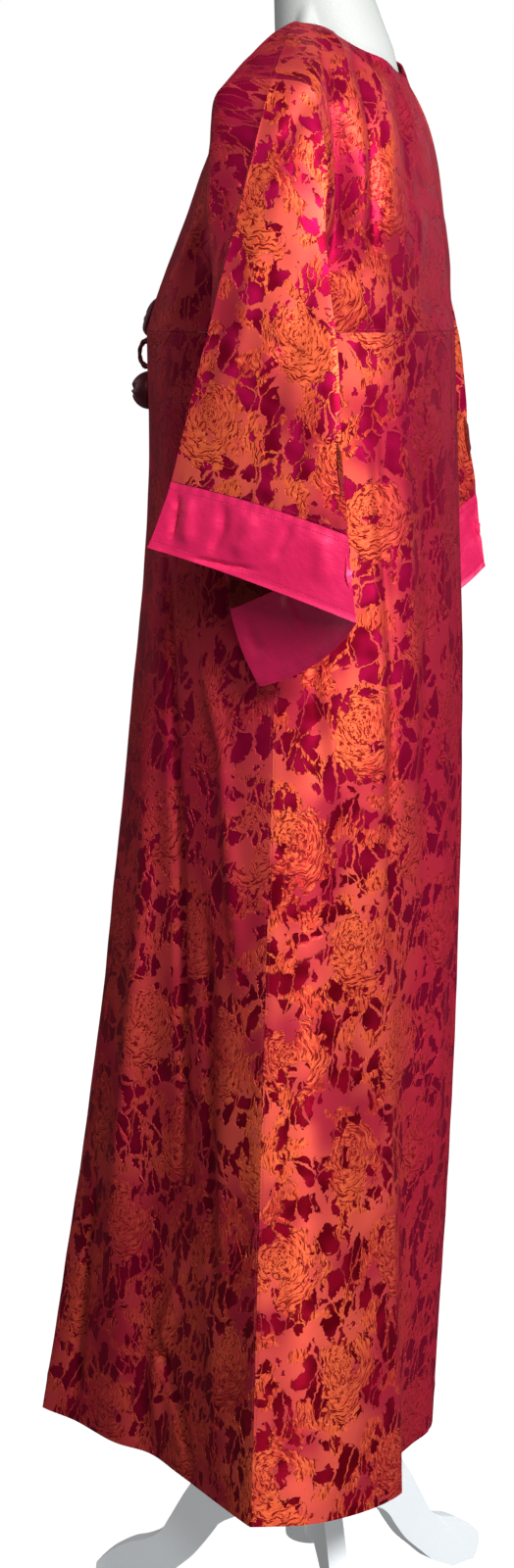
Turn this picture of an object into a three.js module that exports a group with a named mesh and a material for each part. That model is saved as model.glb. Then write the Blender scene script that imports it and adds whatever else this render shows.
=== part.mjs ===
// A long empire line evening dress in stiff brocade, worn by a limbless dress form on a tripod stand.
// Millimetres, +Z up. The garment's front faces -Y and its left side is at +X.
// The origin is on the floor under the middle of the whole object.
import * as THREE from 'three';

// Cloth and seams
const CLOTH = 1.8;
const SEAM_GAP = 0.3;

// Heights above the floor
const HEM = 230;
const EMPIRE_SEAM = 1385;

// The side seam's bearing: bearings turn from the front (0) by the wearer's left (90) to the back (180)
const SIDE_BEARING = 93.7;

// The skirt's lines, a row for each that runs down both its halves. The columns after the bearing
// are the distance from the stand's axis at five heights, and the right half has its own at the hem
// and the knee. crease is 1 where the line is a sharp ridge.
const SKIRT_HEIGHTS = { hem: HEM, knee: 640, hip: 1020, waist: 1220, seam: EMPIRE_SEAM };
const SKIRT_LINES = [
  { line: 'front centre', bearing: 0, hem: 295, knee: 226, hip: 184, waist: 168, seam: 168,
    rightHem: 295, rightKnee: 226, crease: 0 },
  { line: 'front flare', bearing: 11.6, hem: 292, knee: 228, hip: 186, waist: 168, seam: 168,
    rightHem: 288, rightKnee: 227, crease: 0.7 },
  { line: 'flare foot', bearing: 19.3, hem: 254, knee: 222, hip: 185, waist: 168, seam: 169,
    rightHem: 258, rightKnee: 221, crease: 0.2 },
  { line: 'front panel', bearing: 35.1, hem: 221, knee: 204, hip: 182, waist: 168, seam: 171,
    rightHem: 228, rightKnee: 206, crease: 0 },
  { line: 'front valley', bearing: 47.2, hem: 198, knee: 184, hip: 176, waist: 167, seam: 171,
    rightHem: 208, rightKnee: 188, crease: 0 },
  { line: 'side front low', bearing: 64.2, hem: 207, knee: 186, hip: 176, waist: 165, seam: 168,
    rightHem: 214, rightKnee: 190, crease: 0 },
  { line: 'side front high', bearing: 80, hem: 238, knee: 210, hip: 183, waist: 164, seam: 166,
    rightHem: 243, rightKnee: 212, crease: 0 },
  { line: 'side seam', bearing: SIDE_BEARING, hem: 293, knee: 241, hip: 190, waist: 164, seam: 165,
    rightHem: 293, rightKnee: 241, crease: 1 },
  { line: 'side back', bearing: 105.3, hem: 279, knee: 231, hip: 185, waist: 160, seam: 161,
    rightHem: 248, rightKnee: 218, crease: 0 },
  { line: 'underarm valley', bearing: 117.5, hem: 253, knee: 211, hip: 172, waist: 153, seam: 153,
    rightHem: 192, rightKnee: 187, crease: 0 },
  { line: 'back fold', bearing: 129.9, hem: 221, knee: 189, hip: 176, waist: 159, seam: 155,
    rightHem: 160, rightKnee: 175, crease: 0.5 },
  { line: 'back valley', bearing: 141, hem: 152, knee: 161, hip: 166, waist: 155, seam: 150,
    rightHem: 143, rightKnee: 160, crease: 0 },
  { line: 'back panel', bearing: 157.7, hem: 131, knee: 152, hip: 154, waist: 149, seam: 142,
    rightHem: 131, rightKnee: 151, crease: 0 },
  { line: 'centre back', bearing: 180, hem: 131, knee: 150, hip: 154, waist: 146, seam: 142,
    rightHem: 131, rightKnee: 150, crease: 0 },
];
const SKIRT_SPAN_STEPS = 2;
const SKIRT_ROWS = 14;

// The bodice's left half. Each guide starts on the empire seam at a bearing and climbs through five points
// to the neckline or the shoulder seam. The outer guides climb the side seam, then the armhole.
const FRONT_GUIDES = [
  { guide: 'centre front', bearing: 0, low: [0, -155, 1430], mid: [0, -134, 1490],
    high: [0, -112, 1540], ridge: [0, -98, 1572], top: [0, -84, 1598] },
  { guide: 'front neck', bearing: 16.5, low: [48, -146, 1433], mid: [46, -121, 1495],
    high: [44, -100, 1550], ridge: [43, -84, 1588], top: [42, -66, 1622] },
  { guide: 'neck point', bearing: 33, low: [92, -127, 1435], mid: [86, -104, 1500],
    high: [80, -76, 1580], ridge: [72, -26, 1664], top: [68, -3, 1682] },
  { guide: 'mid shoulder', bearing: 53, low: [136, -97, 1432], mid: [134, -82, 1500],
    high: [131, -62, 1580], ridge: [127, -33, 1643], top: [126, 3, 1655] },
  { guide: 'armhole', bearing: SIDE_BEARING, low: [177, 9, 1431], mid: [172, -44, 1482],
    high: [177, -53, 1565], ridge: [190, -40, 1612], top: [188, 10, 1620] },
];
const BACK_GUIDES = [
  { guide: 'armhole', bearing: SIDE_BEARING, low: [177, 9, 1431], mid: [172, 58, 1482],
    high: [177, 64, 1560], ridge: [190, 50, 1610], top: [188, 10, 1620] },
  { guide: 'mid shoulder', bearing: 126, low: [138, 86, 1434], mid: [137, 89, 1500],
    high: [132, 76, 1585], ridge: [128, 46, 1645], top: [126, 3, 1655] },
  { guide: 'neck point', bearing: 146, low: [94, 115, 1437], mid: [92, 110, 1500],
    high: [86, 90, 1590], ridge: [74, 42, 1664], top: [68, -3, 1682] },
  { guide: 'back neck', bearing: 163, low: [46, 127, 1437], mid: [46, 121, 1495],
    high: [45, 107, 1565], ridge: [43, 90, 1612], top: [40, 70, 1650] },
  { guide: 'centre back', bearing: 180, low: [0, 136, 1437], mid: [0, 129, 1495],
    high: [0, 117, 1560], ridge: [0, 105, 1600], top: [0, 92, 1630] },
];
const BODICE_SPAN_STEPS = 4;
const BODICE_LEVEL_STEPS = 2;
// Soft folds that fall from the shoulder on the bodice's back, in the panel's own shares across and up
const BODICE_FOLDS = [
  { fold: 'neck roll', across: 0.6, width: 0.09, from: 0.4, height: 6, atTop: 3 },
  { fold: 'shoulder valley', across: 0.34, width: 0.1, from: 0.25, height: -5, atTop: 0 },
];

// The left sleeve's sections below the armhole. crease is the pressed line along the top of the arm,
// back the fold behind the arm and under the underarm seam. The other three columns move the middle
// of the walls between them.
const SLEEVE_SECTIONS = [
  { section: 'cuff edge', crease: [252, -91, 1184], under: [207, 4, 1050], back: [281, 118, 1123],
    outer: [6, 0, 4], inner: [-5, 6, -9], front: [-46, -2, 46] },
  { section: 'cuff seam', crease: [252, -68, 1247], under: [200, -26, 1123], back: [276, 109, 1203],
    outer: [9, 0, 5], inner: [-8, 8, -4], front: [-40, 4, 20] },
  { section: 'elbow', crease: [248, -44, 1346], under: [196, -26, 1240], back: [260, 93, 1346],
    outer: [10, 0, 2], inner: [-8, 8, -2], front: [-16, -4, 4] },
  { section: 'upper arm', crease: [235, -15, 1468], under: [191, -6, 1352], back: [235, 76, 1466],
    outer: [9, 0, 0], inner: [-2, 5, -2], front: [2, -28, 4] },
  { section: 'cap', crease: [217, 4, 1560], under: [187, 9, 1407], back: [211, 67, 1553],
    outer: [8, 0, 4], inner: [-1, 4, 0], front: [4, -56, 14] },
];
// Where those three lines start on the armhole, as a share of the guide from the seam to the shoulder
const ARMHOLE_START = { crease: 1, under: 0.2, back: 0.8 };
const SLEEVE_ARC_STEPS = 7;
const SLEEVE_SECTION_STEPS = 3;
const CUFF_STEPS = 2;
const CUFF_SEAM_TRIM = 0.6;

// The bow at the front of the empire seam: flat loops above, full lobes below and a standing ring between
const BOW_LOBES = [
  { name: 'bow_loop_left', side: 1, inner: 4, outer: 40, low: 1378, high: 1417, proud: 8, seat: 1.5 },
  { name: 'bow_loop_right', side: -1, inner: 4, outer: 40, low: 1378, high: 1417, proud: 8, seat: 1.5 },
  { name: 'bow_lobe_left', side: 1, inner: 3, outer: 38, low: 1304, high: 1343, proud: 19, seat: 0.7 },
  { name: 'bow_lobe_right', side: -1, inner: 3, outer: 38, low: 1304, high: 1343, proud: 19, seat: 0.7 },
];
const BOW_RING = { height: 1360, radius: 13, tube: 2.6, standOff: 0.5 };
const BOW_STEPS = 14;
const BOW_RINGS = 5;

// The dress form: half width, front and back of the body at each level, and of the neck where it has begun
const FORM_LEVELS = [
  { z: 900, half: 132, front: -88, back: 92 },
  { z: 915, half: 146, front: -100, back: 104 },
  { z: 1020, half: 158, front: -114, back: 116 },
  { z: 1130, half: 136, front: -98, back: 98 },
  { z: 1225, half: 118, front: -88, back: 84 },
  { z: 1330, half: 130, front: -108, back: 94 },
  { z: 1430, half: 145, front: -126, back: 104 },
  { z: 1500, half: 154, front: -100, back: 102 },
  { z: 1560, half: 164, front: -70, back: 86 },
  { z: 1590, half: 172, front: -46, back: 62, neckHalf: 50, neckFront: -52, neckBack: 70 },
  { z: 1617, half: 169, front: -34, back: 46, neckHalf: 51, neckFront: -46, neckBack: 68 },
  { z: 1638, half: 152, front: -27, back: 36, neckHalf: 51, neckFront: -42, neckBack: 62 },
  { z: 1653, half: 116, front: -20, back: 30, neckHalf: 51, neckFront: -40, neckBack: 57 },
  { z: 1667, half: 82, front: -18, back: 26, neckHalf: 50, neckFront: -40, neckBack: 51 },
  { z: 1676, half: 60, front: -18, back: 24, neckHalf: 50, neckFront: -40, neckBack: 47 },
  { z: 1706, half: 46, front: -18, back: 22, neckHalf: 49, neckFront: -41, neckBack: 35 },
  { z: 1742, half: 44, front: -18, back: 18, neckHalf: 49, neckFront: -43, neckBack: 28 },
  { z: 1748, half: 40, front: -18, back: 14, neckHalf: 45, neckFront: -39, neckBack: 24 },
];
const FORM_SIDES = 32;
const FORM_MIDDLE = 6;

// The stand: a pole, a hub and three curved legs
const POLE_RADIUS = 15;
const HUB = { radius: 27, bottom: 96, top: 226 };
const LEG_BEARINGS = [267, 27, 147];
const LEG_THICKNESS = 20;
const LEG_UPPER_EDGE = [
  [60, 212], [100, 182], [135, 138], [158, 99], [172, 76], [190, 65], [208, 59], [231, 45], [247, 30],
];
const LEG_LOWER_EDGE = [[192, 8], [175, 17], [157, 33], [133, 55], [117, 76], [100, 98], [64, 116]];
const TOE = { front: 252, heel: 206, tip: 240, height: 16 };

// Colours
const BROCADE = new THREE.MeshStandardMaterial({ color: 0xb8362f, roughness: 0.45, metalness: 0.1 });
const SATIN = new THREE.MeshStandardMaterial({ color: 0xc21f5b, roughness: 0.5, metalness: 0 });
const DARK_BROCADE = new THREE.MeshStandardMaterial({ color: 0x6d1620, roughness: 0.5, metalness: 0.1 });
const FORM_WHITE = new THREE.MeshStandardMaterial({ color: 0xe8ecec, roughness: 0.6, metalness: 0 });
const PAINTED_WOOD = new THREE.MeshStandardMaterial({ color: 0xc9d2d8, roughness: 0.55, metalness: 0 });

const radians = (degrees) => (degrees * Math.PI) / 180;
const onBearing = (bearing, radius, z) =>
  new THREE.Vector3(radius * Math.sin(radians(bearing)), -radius * Math.cos(radians(bearing)), z);
const mirrored = (p) => new THREE.Vector3(-p.x, p.y, p.z);
const copied = (row) => row.map((p) => p.clone());
const turnedOver = (row) => [...row].reverse().map(mirrored);
const smoothStep = (t) => t * t * (3 - 2 * t);

// A value at one place on a curve through named heights, smooth and not overshooting much
function throughHeights(row, heights, z) {
  const stops = Object.entries(heights).map(([name, at]) => ({ at, value: row[name] }));
  stops.sort((a, b) => a.at - b.at);
  const last = stops.length - 1;
  let i = 0;
  while (i < last - 1 && z > stops[i + 1].at) i += 1;
  const slope = (k) => {
    const a = stops[Math.max(0, k - 1)];
    const b = stops[Math.min(last, k + 1)];
    return (b.value - a.value) / (b.at - a.at);
  };
  const span = stops[i + 1].at - stops[i].at;
  const t = (z - stops[i].at) / span;
  const [a, b] = [stops[i].value, stops[i + 1].value];
  const [ma, mb] = [slope(i) * span, slope(i + 1) * span];
  return a * (1 - smoothStep(t)) + b * smoothStep(t) + ma * t * (1 - t) * (1 - t) - mb * t * t * (1 - t);
}

// One span of a curve through points; a point's crease, 0 to 1, turns its tangent into its own chord
function spanPoint(points, creases, i, t, closed) {
  const n = points.length;
  const at = (k) => (closed ? points[(k + n) % n] : points[Math.min(n - 1, Math.max(0, k))]);
  const creaseAt = (k) => creases[closed ? (k + n) % n : Math.min(n - 1, Math.max(0, k))];
  const chord = at(i + 1).clone().sub(at(i));
  const tangent = (k) =>
    at(k + 1).clone().sub(at(k - 1)).multiplyScalar(0.5).lerp(chord, creaseAt(k));
  const [ma, mb] = [tangent(i), tangent(i + 1)];
  const bend = smoothStep(t);
  return at(i).clone().multiplyScalar(1 - bend)
    .addScaledVector(at(i + 1), bend)
    .addScaledVector(ma, t * (1 - t) * (1 - t))
    .addScaledVector(mb, -t * t * (1 - t));
}

function throughPoints(points, creases, stepsPerSpan, closed = false) {
  const spans = closed ? points.length : points.length - 1;
  const out = [];
  for (let i = 0; i < spans; i += 1) {
    for (let k = 0; k < stepsPerSpan; k += 1) {
      out.push(spanPoint(points, creases, i, k / stepsPerSpan, closed));
    }
  }
  if (!closed) out.push(points[points.length - 1].clone());
  return out;
}

// The unit normals of a grid of points: columns run counterclockwise seen from above, rows run up
function gridNormals(rows, closed) {
  const within = (k, n) => Math.min(n - 1, Math.max(0, k));
  const pick = (row, i) => row[closed ? (i + row.length) % row.length : within(i, row.length)];
  return rows.map((row, j) =>
    row.map((_, i) => {
      const along = pick(row, i + 1).clone().sub(pick(row, i - 1));
      const up = pick(rows[within(j + 1, rows.length)], i).clone();
      up.sub(pick(rows[within(j - 1, rows.length)], i));
      return along.cross(up).normalize();
    }));
}

const insideOf = (rows, normals, thickness) =>
  rows.map((row, j) => row.map((p, i) => p.clone().addScaledVector(normals[j][i], -thickness)));

// Moves the edge points of a pair of grids towards their neighbours, which leaves the gap at a seam
function trimEdges(outer, inner, sides, gap = SEAM_GAP / 2 + 0.03) {
  for (const rows of [outer, inner]) {
    const top = rows.length - 1;
    const right = rows[0].length - 1;
    const pull = (edge, next) => edge.addScaledVector(next.clone().sub(edge).normalize(), gap);
    for (let j = 0; j <= top; j += 1) {
      if (sides.left) pull(rows[j][0], rows[j][1]);
      if (sides.right) pull(rows[j][right], rows[j][right - 1]);
    }
    for (let i = 0; i <= right; i += 1) {
      if (sides.bottom) pull(rows[0][i], rows[1][i]);
      if (sides.top) pull(rows[top][i], rows[top - 1][i]);
    }
  }
}

function solidOf(vertices, triangles) {
  const geometry = new THREE.BufferGeometry();
  const positions = vertices.flatMap((p) => [p.x, p.y, p.z]);
  geometry.setAttribute('position', new THREE.Float32BufferAttribute(positions, 3));
  geometry.setIndex(triangles.flat());
  geometry.computeVertexNormals();
  return geometry;
}

// A wall of cloth between an outer and an inner grid, as a panel or, when closed, as a tube
function wall(outer, inner, closed = false) {
  const [height, width] = [outer.length, outer[0].length];
  const vertices = [...outer.flat(), ...inner.flat()];
  const out = (j, i) => j * width + (closed ? i % width : i);
  const inn = (j, i) => height * width + out(j, i);
  const triangles = [];
  const quad = (a, b, c, d) => triangles.push([a, b, c], [a, c, d]);
  const columns = closed ? width : width - 1;
  for (let j = 0; j < height - 1; j += 1) {
    for (let i = 0; i < columns; i += 1) {
      quad(out(j, i), out(j, i + 1), out(j + 1, i + 1), out(j + 1, i));
      quad(inn(j, i), inn(j + 1, i), inn(j + 1, i + 1), inn(j, i + 1));
    }
    if (!closed) {
      quad(out(j, 0), out(j + 1, 0), inn(j + 1, 0), inn(j, 0));
      quad(out(j, columns), inn(j, columns), inn(j + 1, columns), out(j + 1, columns));
    }
  }
  for (let i = 0; i < columns; i += 1) {
    quad(out(0, i), inn(0, i), inn(0, i + 1), out(0, i + 1));
    quad(out(height - 1, i), out(height - 1, i + 1), inn(height - 1, i + 1), inn(height - 1, i));
  }
  return solidOf(vertices, triangles);
}

// A closed body through rings of points, capped flat at both ends
function capped(rings) {
  const n = rings[0].length;
  const vertices = rings.flat();
  const triangles = [];
  for (let j = 0; j < rings.length - 1; j += 1) {
    for (let i = 0; i < n; i += 1) {
      const [a, b] = [j * n + i, j * n + ((i + 1) % n)];
      triangles.push([a, b, b + n], [a, b + n, a + n]);
    }
  }
  for (let i = 1; i < n - 1; i += 1) {
    const top = (rings.length - 1) * n;
    triangles.push([0, i + 1, i], [top, top + i, top + i + 1]);
  }
  return solidOf(vertices, triangles);
}

const object = new THREE.Group();
function add(name, geometry, material) {
  const mesh = new THREE.Mesh(geometry, material);
  mesh.name = name;
  object.add(mesh);
  return mesh;
}

// The skirt's ring at one height: the left half's lines, then the right half's
function skirtLinePoints(z) {
  const left = SKIRT_LINES.map((row) => onBearing(row.bearing, throughHeights(row, SKIRT_HEIGHTS, z), z));
  const right = SKIRT_LINES.slice(1, -1).reverse().map((row) => {
    const itsRow = { ...row, hem: row.rightHem, knee: row.rightKnee };
    return mirrored(onBearing(row.bearing, throughHeights(itsRow, SKIRT_HEIGHTS, z), z));
  });
  return [...left, ...right];
}
const SKIRT_CREASES = [
  ...SKIRT_LINES.map((row) => row.crease),
  ...SKIRT_LINES.slice(1, -1).reverse().map((row) => row.crease),
];
const skirtRing = (z) => throughPoints(skirtLinePoints(z), SKIRT_CREASES, SKIRT_SPAN_STEPS, true);

// A point of the skirt's top ring on a bearing, on the left half
function seamPoint(bearing, z = EMPIRE_SEAM) {
  const ring = throughPoints(skirtLinePoints(EMPIRE_SEAM), SKIRT_CREASES, 12, true);
  const bearingOf = (p) => (Math.atan2(p.x, -p.y) * 180) / Math.PI;
  const half = ring.slice(0, (SKIRT_LINES.length - 1) * 12 + 1);
  if (bearing >= 180) return half[half.length - 1].clone().setZ(z);
  const i = half.findIndex((p, k) => k > 0 && bearingOf(p) >= bearing);
  const [a, b] = [half[i - 1], half[i]];
  const t = (bearing - bearingOf(a)) / (bearingOf(b) - bearingOf(a));
  return a.clone().lerp(b, t).setZ(z);
}

function makeSkirt() {
  const rows = [];
  const rowHeight = (EMPIRE_SEAM - HEM) / SKIRT_ROWS;
  for (let j = 0; j <= SKIRT_ROWS; j += 1) rows.push(skirtRing(HEM + rowHeight * j));
  const normals = gridNormals(rows, true);
  normals[SKIRT_ROWS].forEach((n) => n.setZ(0).normalize());
  const inside = insideOf(rows, normals, CLOTH);
  const width = rows[0].length;
  const side = SKIRT_LINES.findIndex((row) => row.line === 'side seam') * SKIRT_SPAN_STEPS;
  const back = width / 2;
  const panels = [
    { name: 'skirt_front', from: -side, to: side },
    { name: 'skirt_back_left', from: side, to: back },
    { name: 'skirt_back_right', from: back, to: width - side },
  ];
  for (const { name, from, to } of panels) {
    const cut = (grid) => grid.map((row) => {
      const part = [];
      for (let i = from; i <= to; i += 1) part.push(row[(i + width) % width].clone());
      return part;
    });
    const [outer, inner] = [cut(rows), cut(inside)];
    trimEdges(outer, inner, { left: true, right: true, top: true });
    add(name, wall(outer, inner), BROCADE);
  }
}

// The guide's points from the empire seam up, at even steps, as one column of the bodice
function guideColumn(row) {
  const climb = [row.low, row.mid, row.high, row.ridge, row.top].map((p) => new THREE.Vector3(...p));
  const points = [seamPoint(row.bearing), ...climb];
  const creases = [0, row.guide === 'armhole' ? 1 : 0, 0, 0, 0, 0];
  return throughPoints(points, creases, BODICE_LEVEL_STEPS);
}

// The left half of a bodice panel as rows of points, in the order of its guides
function bodiceRows(guides, folds) {
  const columns = guides.map(guideColumn);
  const neck = guides.findIndex((row) => row.guide === 'neck point');
  const rows = columns[0].map((_, j) => {
    const up = j / (columns[0].length - 1);
    const corner = smoothStep(Math.max(0, (up - 0.7) / 0.3));
    const creases = guides.map((_, i) => (i === neck ? corner : 0));
    return throughPoints(columns.map((column) => column[j]), creases, BODICE_SPAN_STEPS);
  });
  const width = rows[0].length - 1;
  // The lowest row lies on the skirt's top edge
  rows[0] = rows[0].map((p, i) => {
    const span = Math.min(guides.length - 2, Math.floor(i / BODICE_SPAN_STEPS));
    const t = i / BODICE_SPAN_STEPS - span;
    return seamPoint(guides[span].bearing * (1 - t) + guides[span + 1].bearing * t);
  });
  const normals = gridNormals(rows, false);
  return rows.map((row, j) => row.map((p, i) => {
    const [up, across] = [j / (rows.length - 1), i / width];
    let lift = 0;
    for (const fold of folds) {
      const start = Math.min(1, Math.max(0, (up - fold.from) / (1 - fold.from)));
      const end = smoothStep(Math.max(0, (up - 0.75) / 0.25));
      const height = smoothStep(start) * (fold.height + (fold.atTop - fold.height) * end);
      lift += height * Math.exp(-(((across - fold.across) / fold.width) ** 2));
    }
    const onShoulder = j === rows.length - 1 && (i <= neck * BODICE_SPAN_STEPS || folds.length === 0);
    const edge = i === 0 || i === width || onShoulder ? 0 : 1;
    return p.clone().addScaledVector(normals[j][i], lift * edge);
  }));
}

// Turns the offset direction on seams so that the two pieces that meet there share it
function seamNormals(normals, guides, outerFirst) {
  const top = normals.length - 1;
  const width = normals[0].length - 1;
  const neck = guides.findIndex((row) => row.guide === 'neck point') * BODICE_SPAN_STEPS;
  normals[0].forEach((n) => n.setZ(0).normalize());
  normals[top].forEach((n, i) => {
    const onShoulder = outerFirst ? i <= neck : i >= neck;
    if (onShoulder) n.set(0, 0, 1);
  });
  for (let j = 0; j <= BODICE_LEVEL_STEPS; j += 1) normals[j][outerFirst ? 0 : width].set(1, 0, 0);
  return normals;
}

function makeBodice() {
  const front = bodiceRows(FRONT_GUIDES, []);
  const frontNormals = seamNormals(gridNormals(front, false), FRONT_GUIDES, false);
  frontNormals.forEach((row) => row[0].setX(0).normalize());
  const frontInside = insideOf(front, frontNormals, CLOTH);
  const both = (rows) => rows.map((row) => [...row.slice(1).reverse().map(mirrored), ...copied(row)]);
  const [outer, inner] = [both(front), both(frontInside)];
  trimEdges(outer, inner, { left: true, right: true, bottom: true, top: true });
  add('bodice_front', wall(outer, inner), BROCADE);

  const back = bodiceRows(BACK_GUIDES, BODICE_FOLDS);
  const backNormals = seamNormals(gridNormals(back, false), BACK_GUIDES, true);
  backNormals.forEach((row) => row[row.length - 1].setX(0).normalize());
  const backInside = insideOf(back, backNormals, CLOTH);
  for (const [name, turn] of [['bodice_back_left', copied], ['bodice_back_right', turnedOver]]) {
    const [panel, lining] = [back.map(turn), backInside.map(turn)];
    trimEdges(panel, lining, { left: true, right: true, bottom: true, top: true });
    add(name, wall(panel, lining), BROCADE);
  }
}

// A point of the left armhole at a share of its guide, on the front or back panel
function armholePoint(guides, share) {
  const column = guideColumn(guides.find((row) => row.guide === 'armhole'));
  const at = share * (column.length - 1);
  const i = Math.min(column.length - 2, Math.floor(at));
  return column[i].clone().lerp(column[i + 1], at - i);
}

// An arc between two points whose middle is moved by push
function arc(from, to, push, steps) {
  const points = [];
  for (let k = 0; k < steps; k += 1) {
    const t = k / steps;
    points.push(from.clone().lerp(to, t).addScaledVector(push, 4 * t * (1 - t)));
  }
  return points;
}

// A sleeve section, counterclockwise from above: outer wall, back, inner wall, underarm, front wall
function sleeveRing(row) {
  const [crease, under, back] = [row.crease, row.under, row.back].map((p) => new THREE.Vector3(...p));
  const [outer, inner, front] = [row.outer, row.inner, row.front].map((p) => new THREE.Vector3(...p));
  return [
    ...arc(crease, back, outer, SLEEVE_ARC_STEPS),
    ...arc(back, under, inner, SLEEVE_ARC_STEPS),
    ...arc(under, crease, front, SLEEVE_ARC_STEPS),
  ];
}

// The sleeve's top ring, on the armhole and clear of the bodice by the seam gap
function armholeRing() {
  const { crease, under, back } = ARMHOLE_START;
  const clear = new THREE.Vector3(SEAM_GAP + 0.15, 0, 0);
  const ring = [];
  const run = (guides, from, to) => {
    for (let k = 0; k < SLEEVE_ARC_STEPS; k += 1) {
      ring.push(armholePoint(guides, from + ((to - from) * k) / SLEEVE_ARC_STEPS).add(clear));
    }
  };
  run(BACK_GUIDES, crease, back);
  run(BACK_GUIDES, back, under);
  run(FRONT_GUIDES, under, crease);
  return ring;
}

function makeSleeves() {
  const sections = [...SLEEVE_SECTIONS.map(sleeveRing), armholeRing()];
  const creases = sections.map(() => 0);
  const columns = sections[0].map((_, i) => {
    const points = sections.map((ring) => ring[i]);
    return [points[0].clone(), ...cuffAndSleeve(points, creases)];
  });
  const rows = columns[0].map((_, j) => columns.map((column) => column[j]));
  const normals = gridNormals(rows, true);
  const top = rows.length - 1;
  normals[top].forEach((n) => n.setX(0).normalize());
  const inside = insideOf(rows, normals, CLOTH);
  for (const [side, turn] of [['left', copied], ['right', turnedOver]]) {
    const addPart = (piece, from, to, trim, material) => {
      const [outer, inner] = [rows, inside].map((grid) => grid.slice(from, to + 1).map(turn));
      trimEdges(outer, inner, trim, CUFF_SEAM_TRIM);
      add(`${piece}_${side}`, wall(outer, inner, true), material);
    };
    addPart('cuff', 0, CUFF_STEPS, { top: true }, SATIN);
    addPart('sleeve', CUFF_STEPS, top, { bottom: true }, BROCADE);
  }
}

// The steps of one sleeve line after its first point: the cuff's, then those of each sleeve section
function cuffAndSleeve(points, creases) {
  const line = [];
  for (let i = 0; i < points.length - 1; i += 1) {
    const steps = i === 0 ? CUFF_STEPS : SLEEVE_SECTION_STEPS;
    for (let k = 1; k <= steps; k += 1) line.push(spanPoint(points, creases, i, k / steps, false));
  }
  return line;
}

// How far forward the dress reaches at a place near the centre front
function frontSurface(x, z) {
  if (z <= EMPIRE_SEAM) {
    const ring = throughPoints(skirtLinePoints(z), SKIRT_CREASES, 6, true).slice(0, 24);
    const i = Math.max(1, ring.findIndex((p) => p.x >= Math.abs(x)));
    const t = (Math.abs(x) - ring[i - 1].x) / (ring[i].x - ring[i - 1].x);
    return ring[i - 1].y + (ring[i].y - ring[i - 1].y) * t;
  }
  const rows = bodiceRows(FRONT_GUIDES, []);
  const j = Math.max(1, rows.findIndex((row) => row[0].z >= z));
  const share = (z - rows[j - 1][0].z) / (rows[j][0].z - rows[j - 1][0].z);
  const across = Math.abs(x) / rows[j][BODICE_SPAN_STEPS].x;
  const at = (row) => row[0].y + (row[BODICE_SPAN_STEPS].y - row[0].y) * across ** 2;
  return at(rows[j - 1]) + (at(rows[j]) - at(rows[j - 1])) * share;
}

// A lobe of the bow: a pillow on the dress's front whose back follows the cloth
function makeLobe({ name, side, inner, outer, low, high, proud, seat }) {
  const centre = [(inner + outer) / 2, (low + high) / 2];
  const reach = [(outer - inner) / 2, (high - low) / 2];
  const place = (turn, share, lift) => {
    const x = side * (centre[0] + reach[0] * share * Math.cos(turn));
    const z = centre[1] + reach[1] * share * Math.sin(turn);
    return new THREE.Vector3(x, frontSurface(x, z) - lift, z);
  };
  const rings = [];
  for (let k = 0; k <= BOW_RINGS; k += 1) {
    const rise = k / BOW_RINGS;
    const share = k === 0 ? 0.86 : Math.sqrt(1 - (0.92 * rise) ** 2);
    const ring = [];
    for (let i = 0; i < BOW_STEPS; i += 1) {
      const turn = (side * 2 * Math.PI * i) / BOW_STEPS;
      ring.push(place(turn, share, seat + proud * rise));
    }
    rings.push(ring);
  }
  add(name, capped(rings), DARK_BROCADE);
}

function makeBow() {
  BOW_LOBES.forEach(makeLobe);
  const ring = new THREE.TorusGeometry(BOW_RING.radius, BOW_RING.tube, 8, 20);
  ring.rotateY(Math.PI / 2);
  ring.scale(1, 0.62, 1);
  const front = frontSurface(0, BOW_RING.height);
  const back = 0.62 * (BOW_RING.radius + BOW_RING.tube);
  ring.translate(0, front - BOW_RING.standOff - back, BOW_RING.height);
  add('bow_ring', ring, DARK_BROCADE);
}

// How far an oval reaches from the form's own middle in one direction
function ovalReach(half, front, back, along) {
  const depth = along.y < 0 ? FORM_MIDDLE - front : back - FORM_MIDDLE;
  return 1 / Math.hypot(along.x / half, along.y / depth);
}

function formRing({ z, half, front, back, neckHalf = 1, neckFront = 0, neckBack = 12 }) {
  const ring = [];
  for (let i = 0; i < FORM_SIDES; i += 1) {
    const turn = (2 * Math.PI * i) / FORM_SIDES;
    const along = new THREE.Vector2(Math.cos(turn), 0.75 * Math.sin(turn)).normalize();
    const body = ovalReach(half, front, back, along);
    const neck = ovalReach(neckHalf, neckFront, neckBack, along);
    const reach = Math.max(body, neck);
    ring.push(new THREE.Vector3(along.x * reach, FORM_MIDDLE + along.y * reach, z));
  }
  return ring;
}

function makeForm() {
  add('form_body', capped(FORM_LEVELS.map(formRing)), FORM_WHITE);
}

function makeStand() {
  const bodyFoot = FORM_LEVELS[0].z;
  const poleHeight = bodyFoot - HUB.top - 2 * SEAM_GAP;
  const pole = new THREE.CylinderGeometry(POLE_RADIUS, POLE_RADIUS, poleHeight, 16);
  pole.rotateX(Math.PI / 2);
  pole.translate(0, 0, HUB.top + SEAM_GAP + poleHeight / 2);
  add('stand_pole', pole, PAINTED_WOOD);

  const hubHeight = HUB.top - HUB.bottom;
  const hub = new THREE.CylinderGeometry(HUB.radius, HUB.radius, hubHeight, 24);
  hub.rotateX(Math.PI / 2);
  hub.translate(0, 0, HUB.bottom + hubHeight / 2);
  add('stand_hub', hub, PAINTED_WOOD);

  LEG_BEARINGS.forEach((bearing, k) => add(`stand_leg_${k + 1}`, legGeometry(bearing), PAINTED_WOOD));
}

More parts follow.
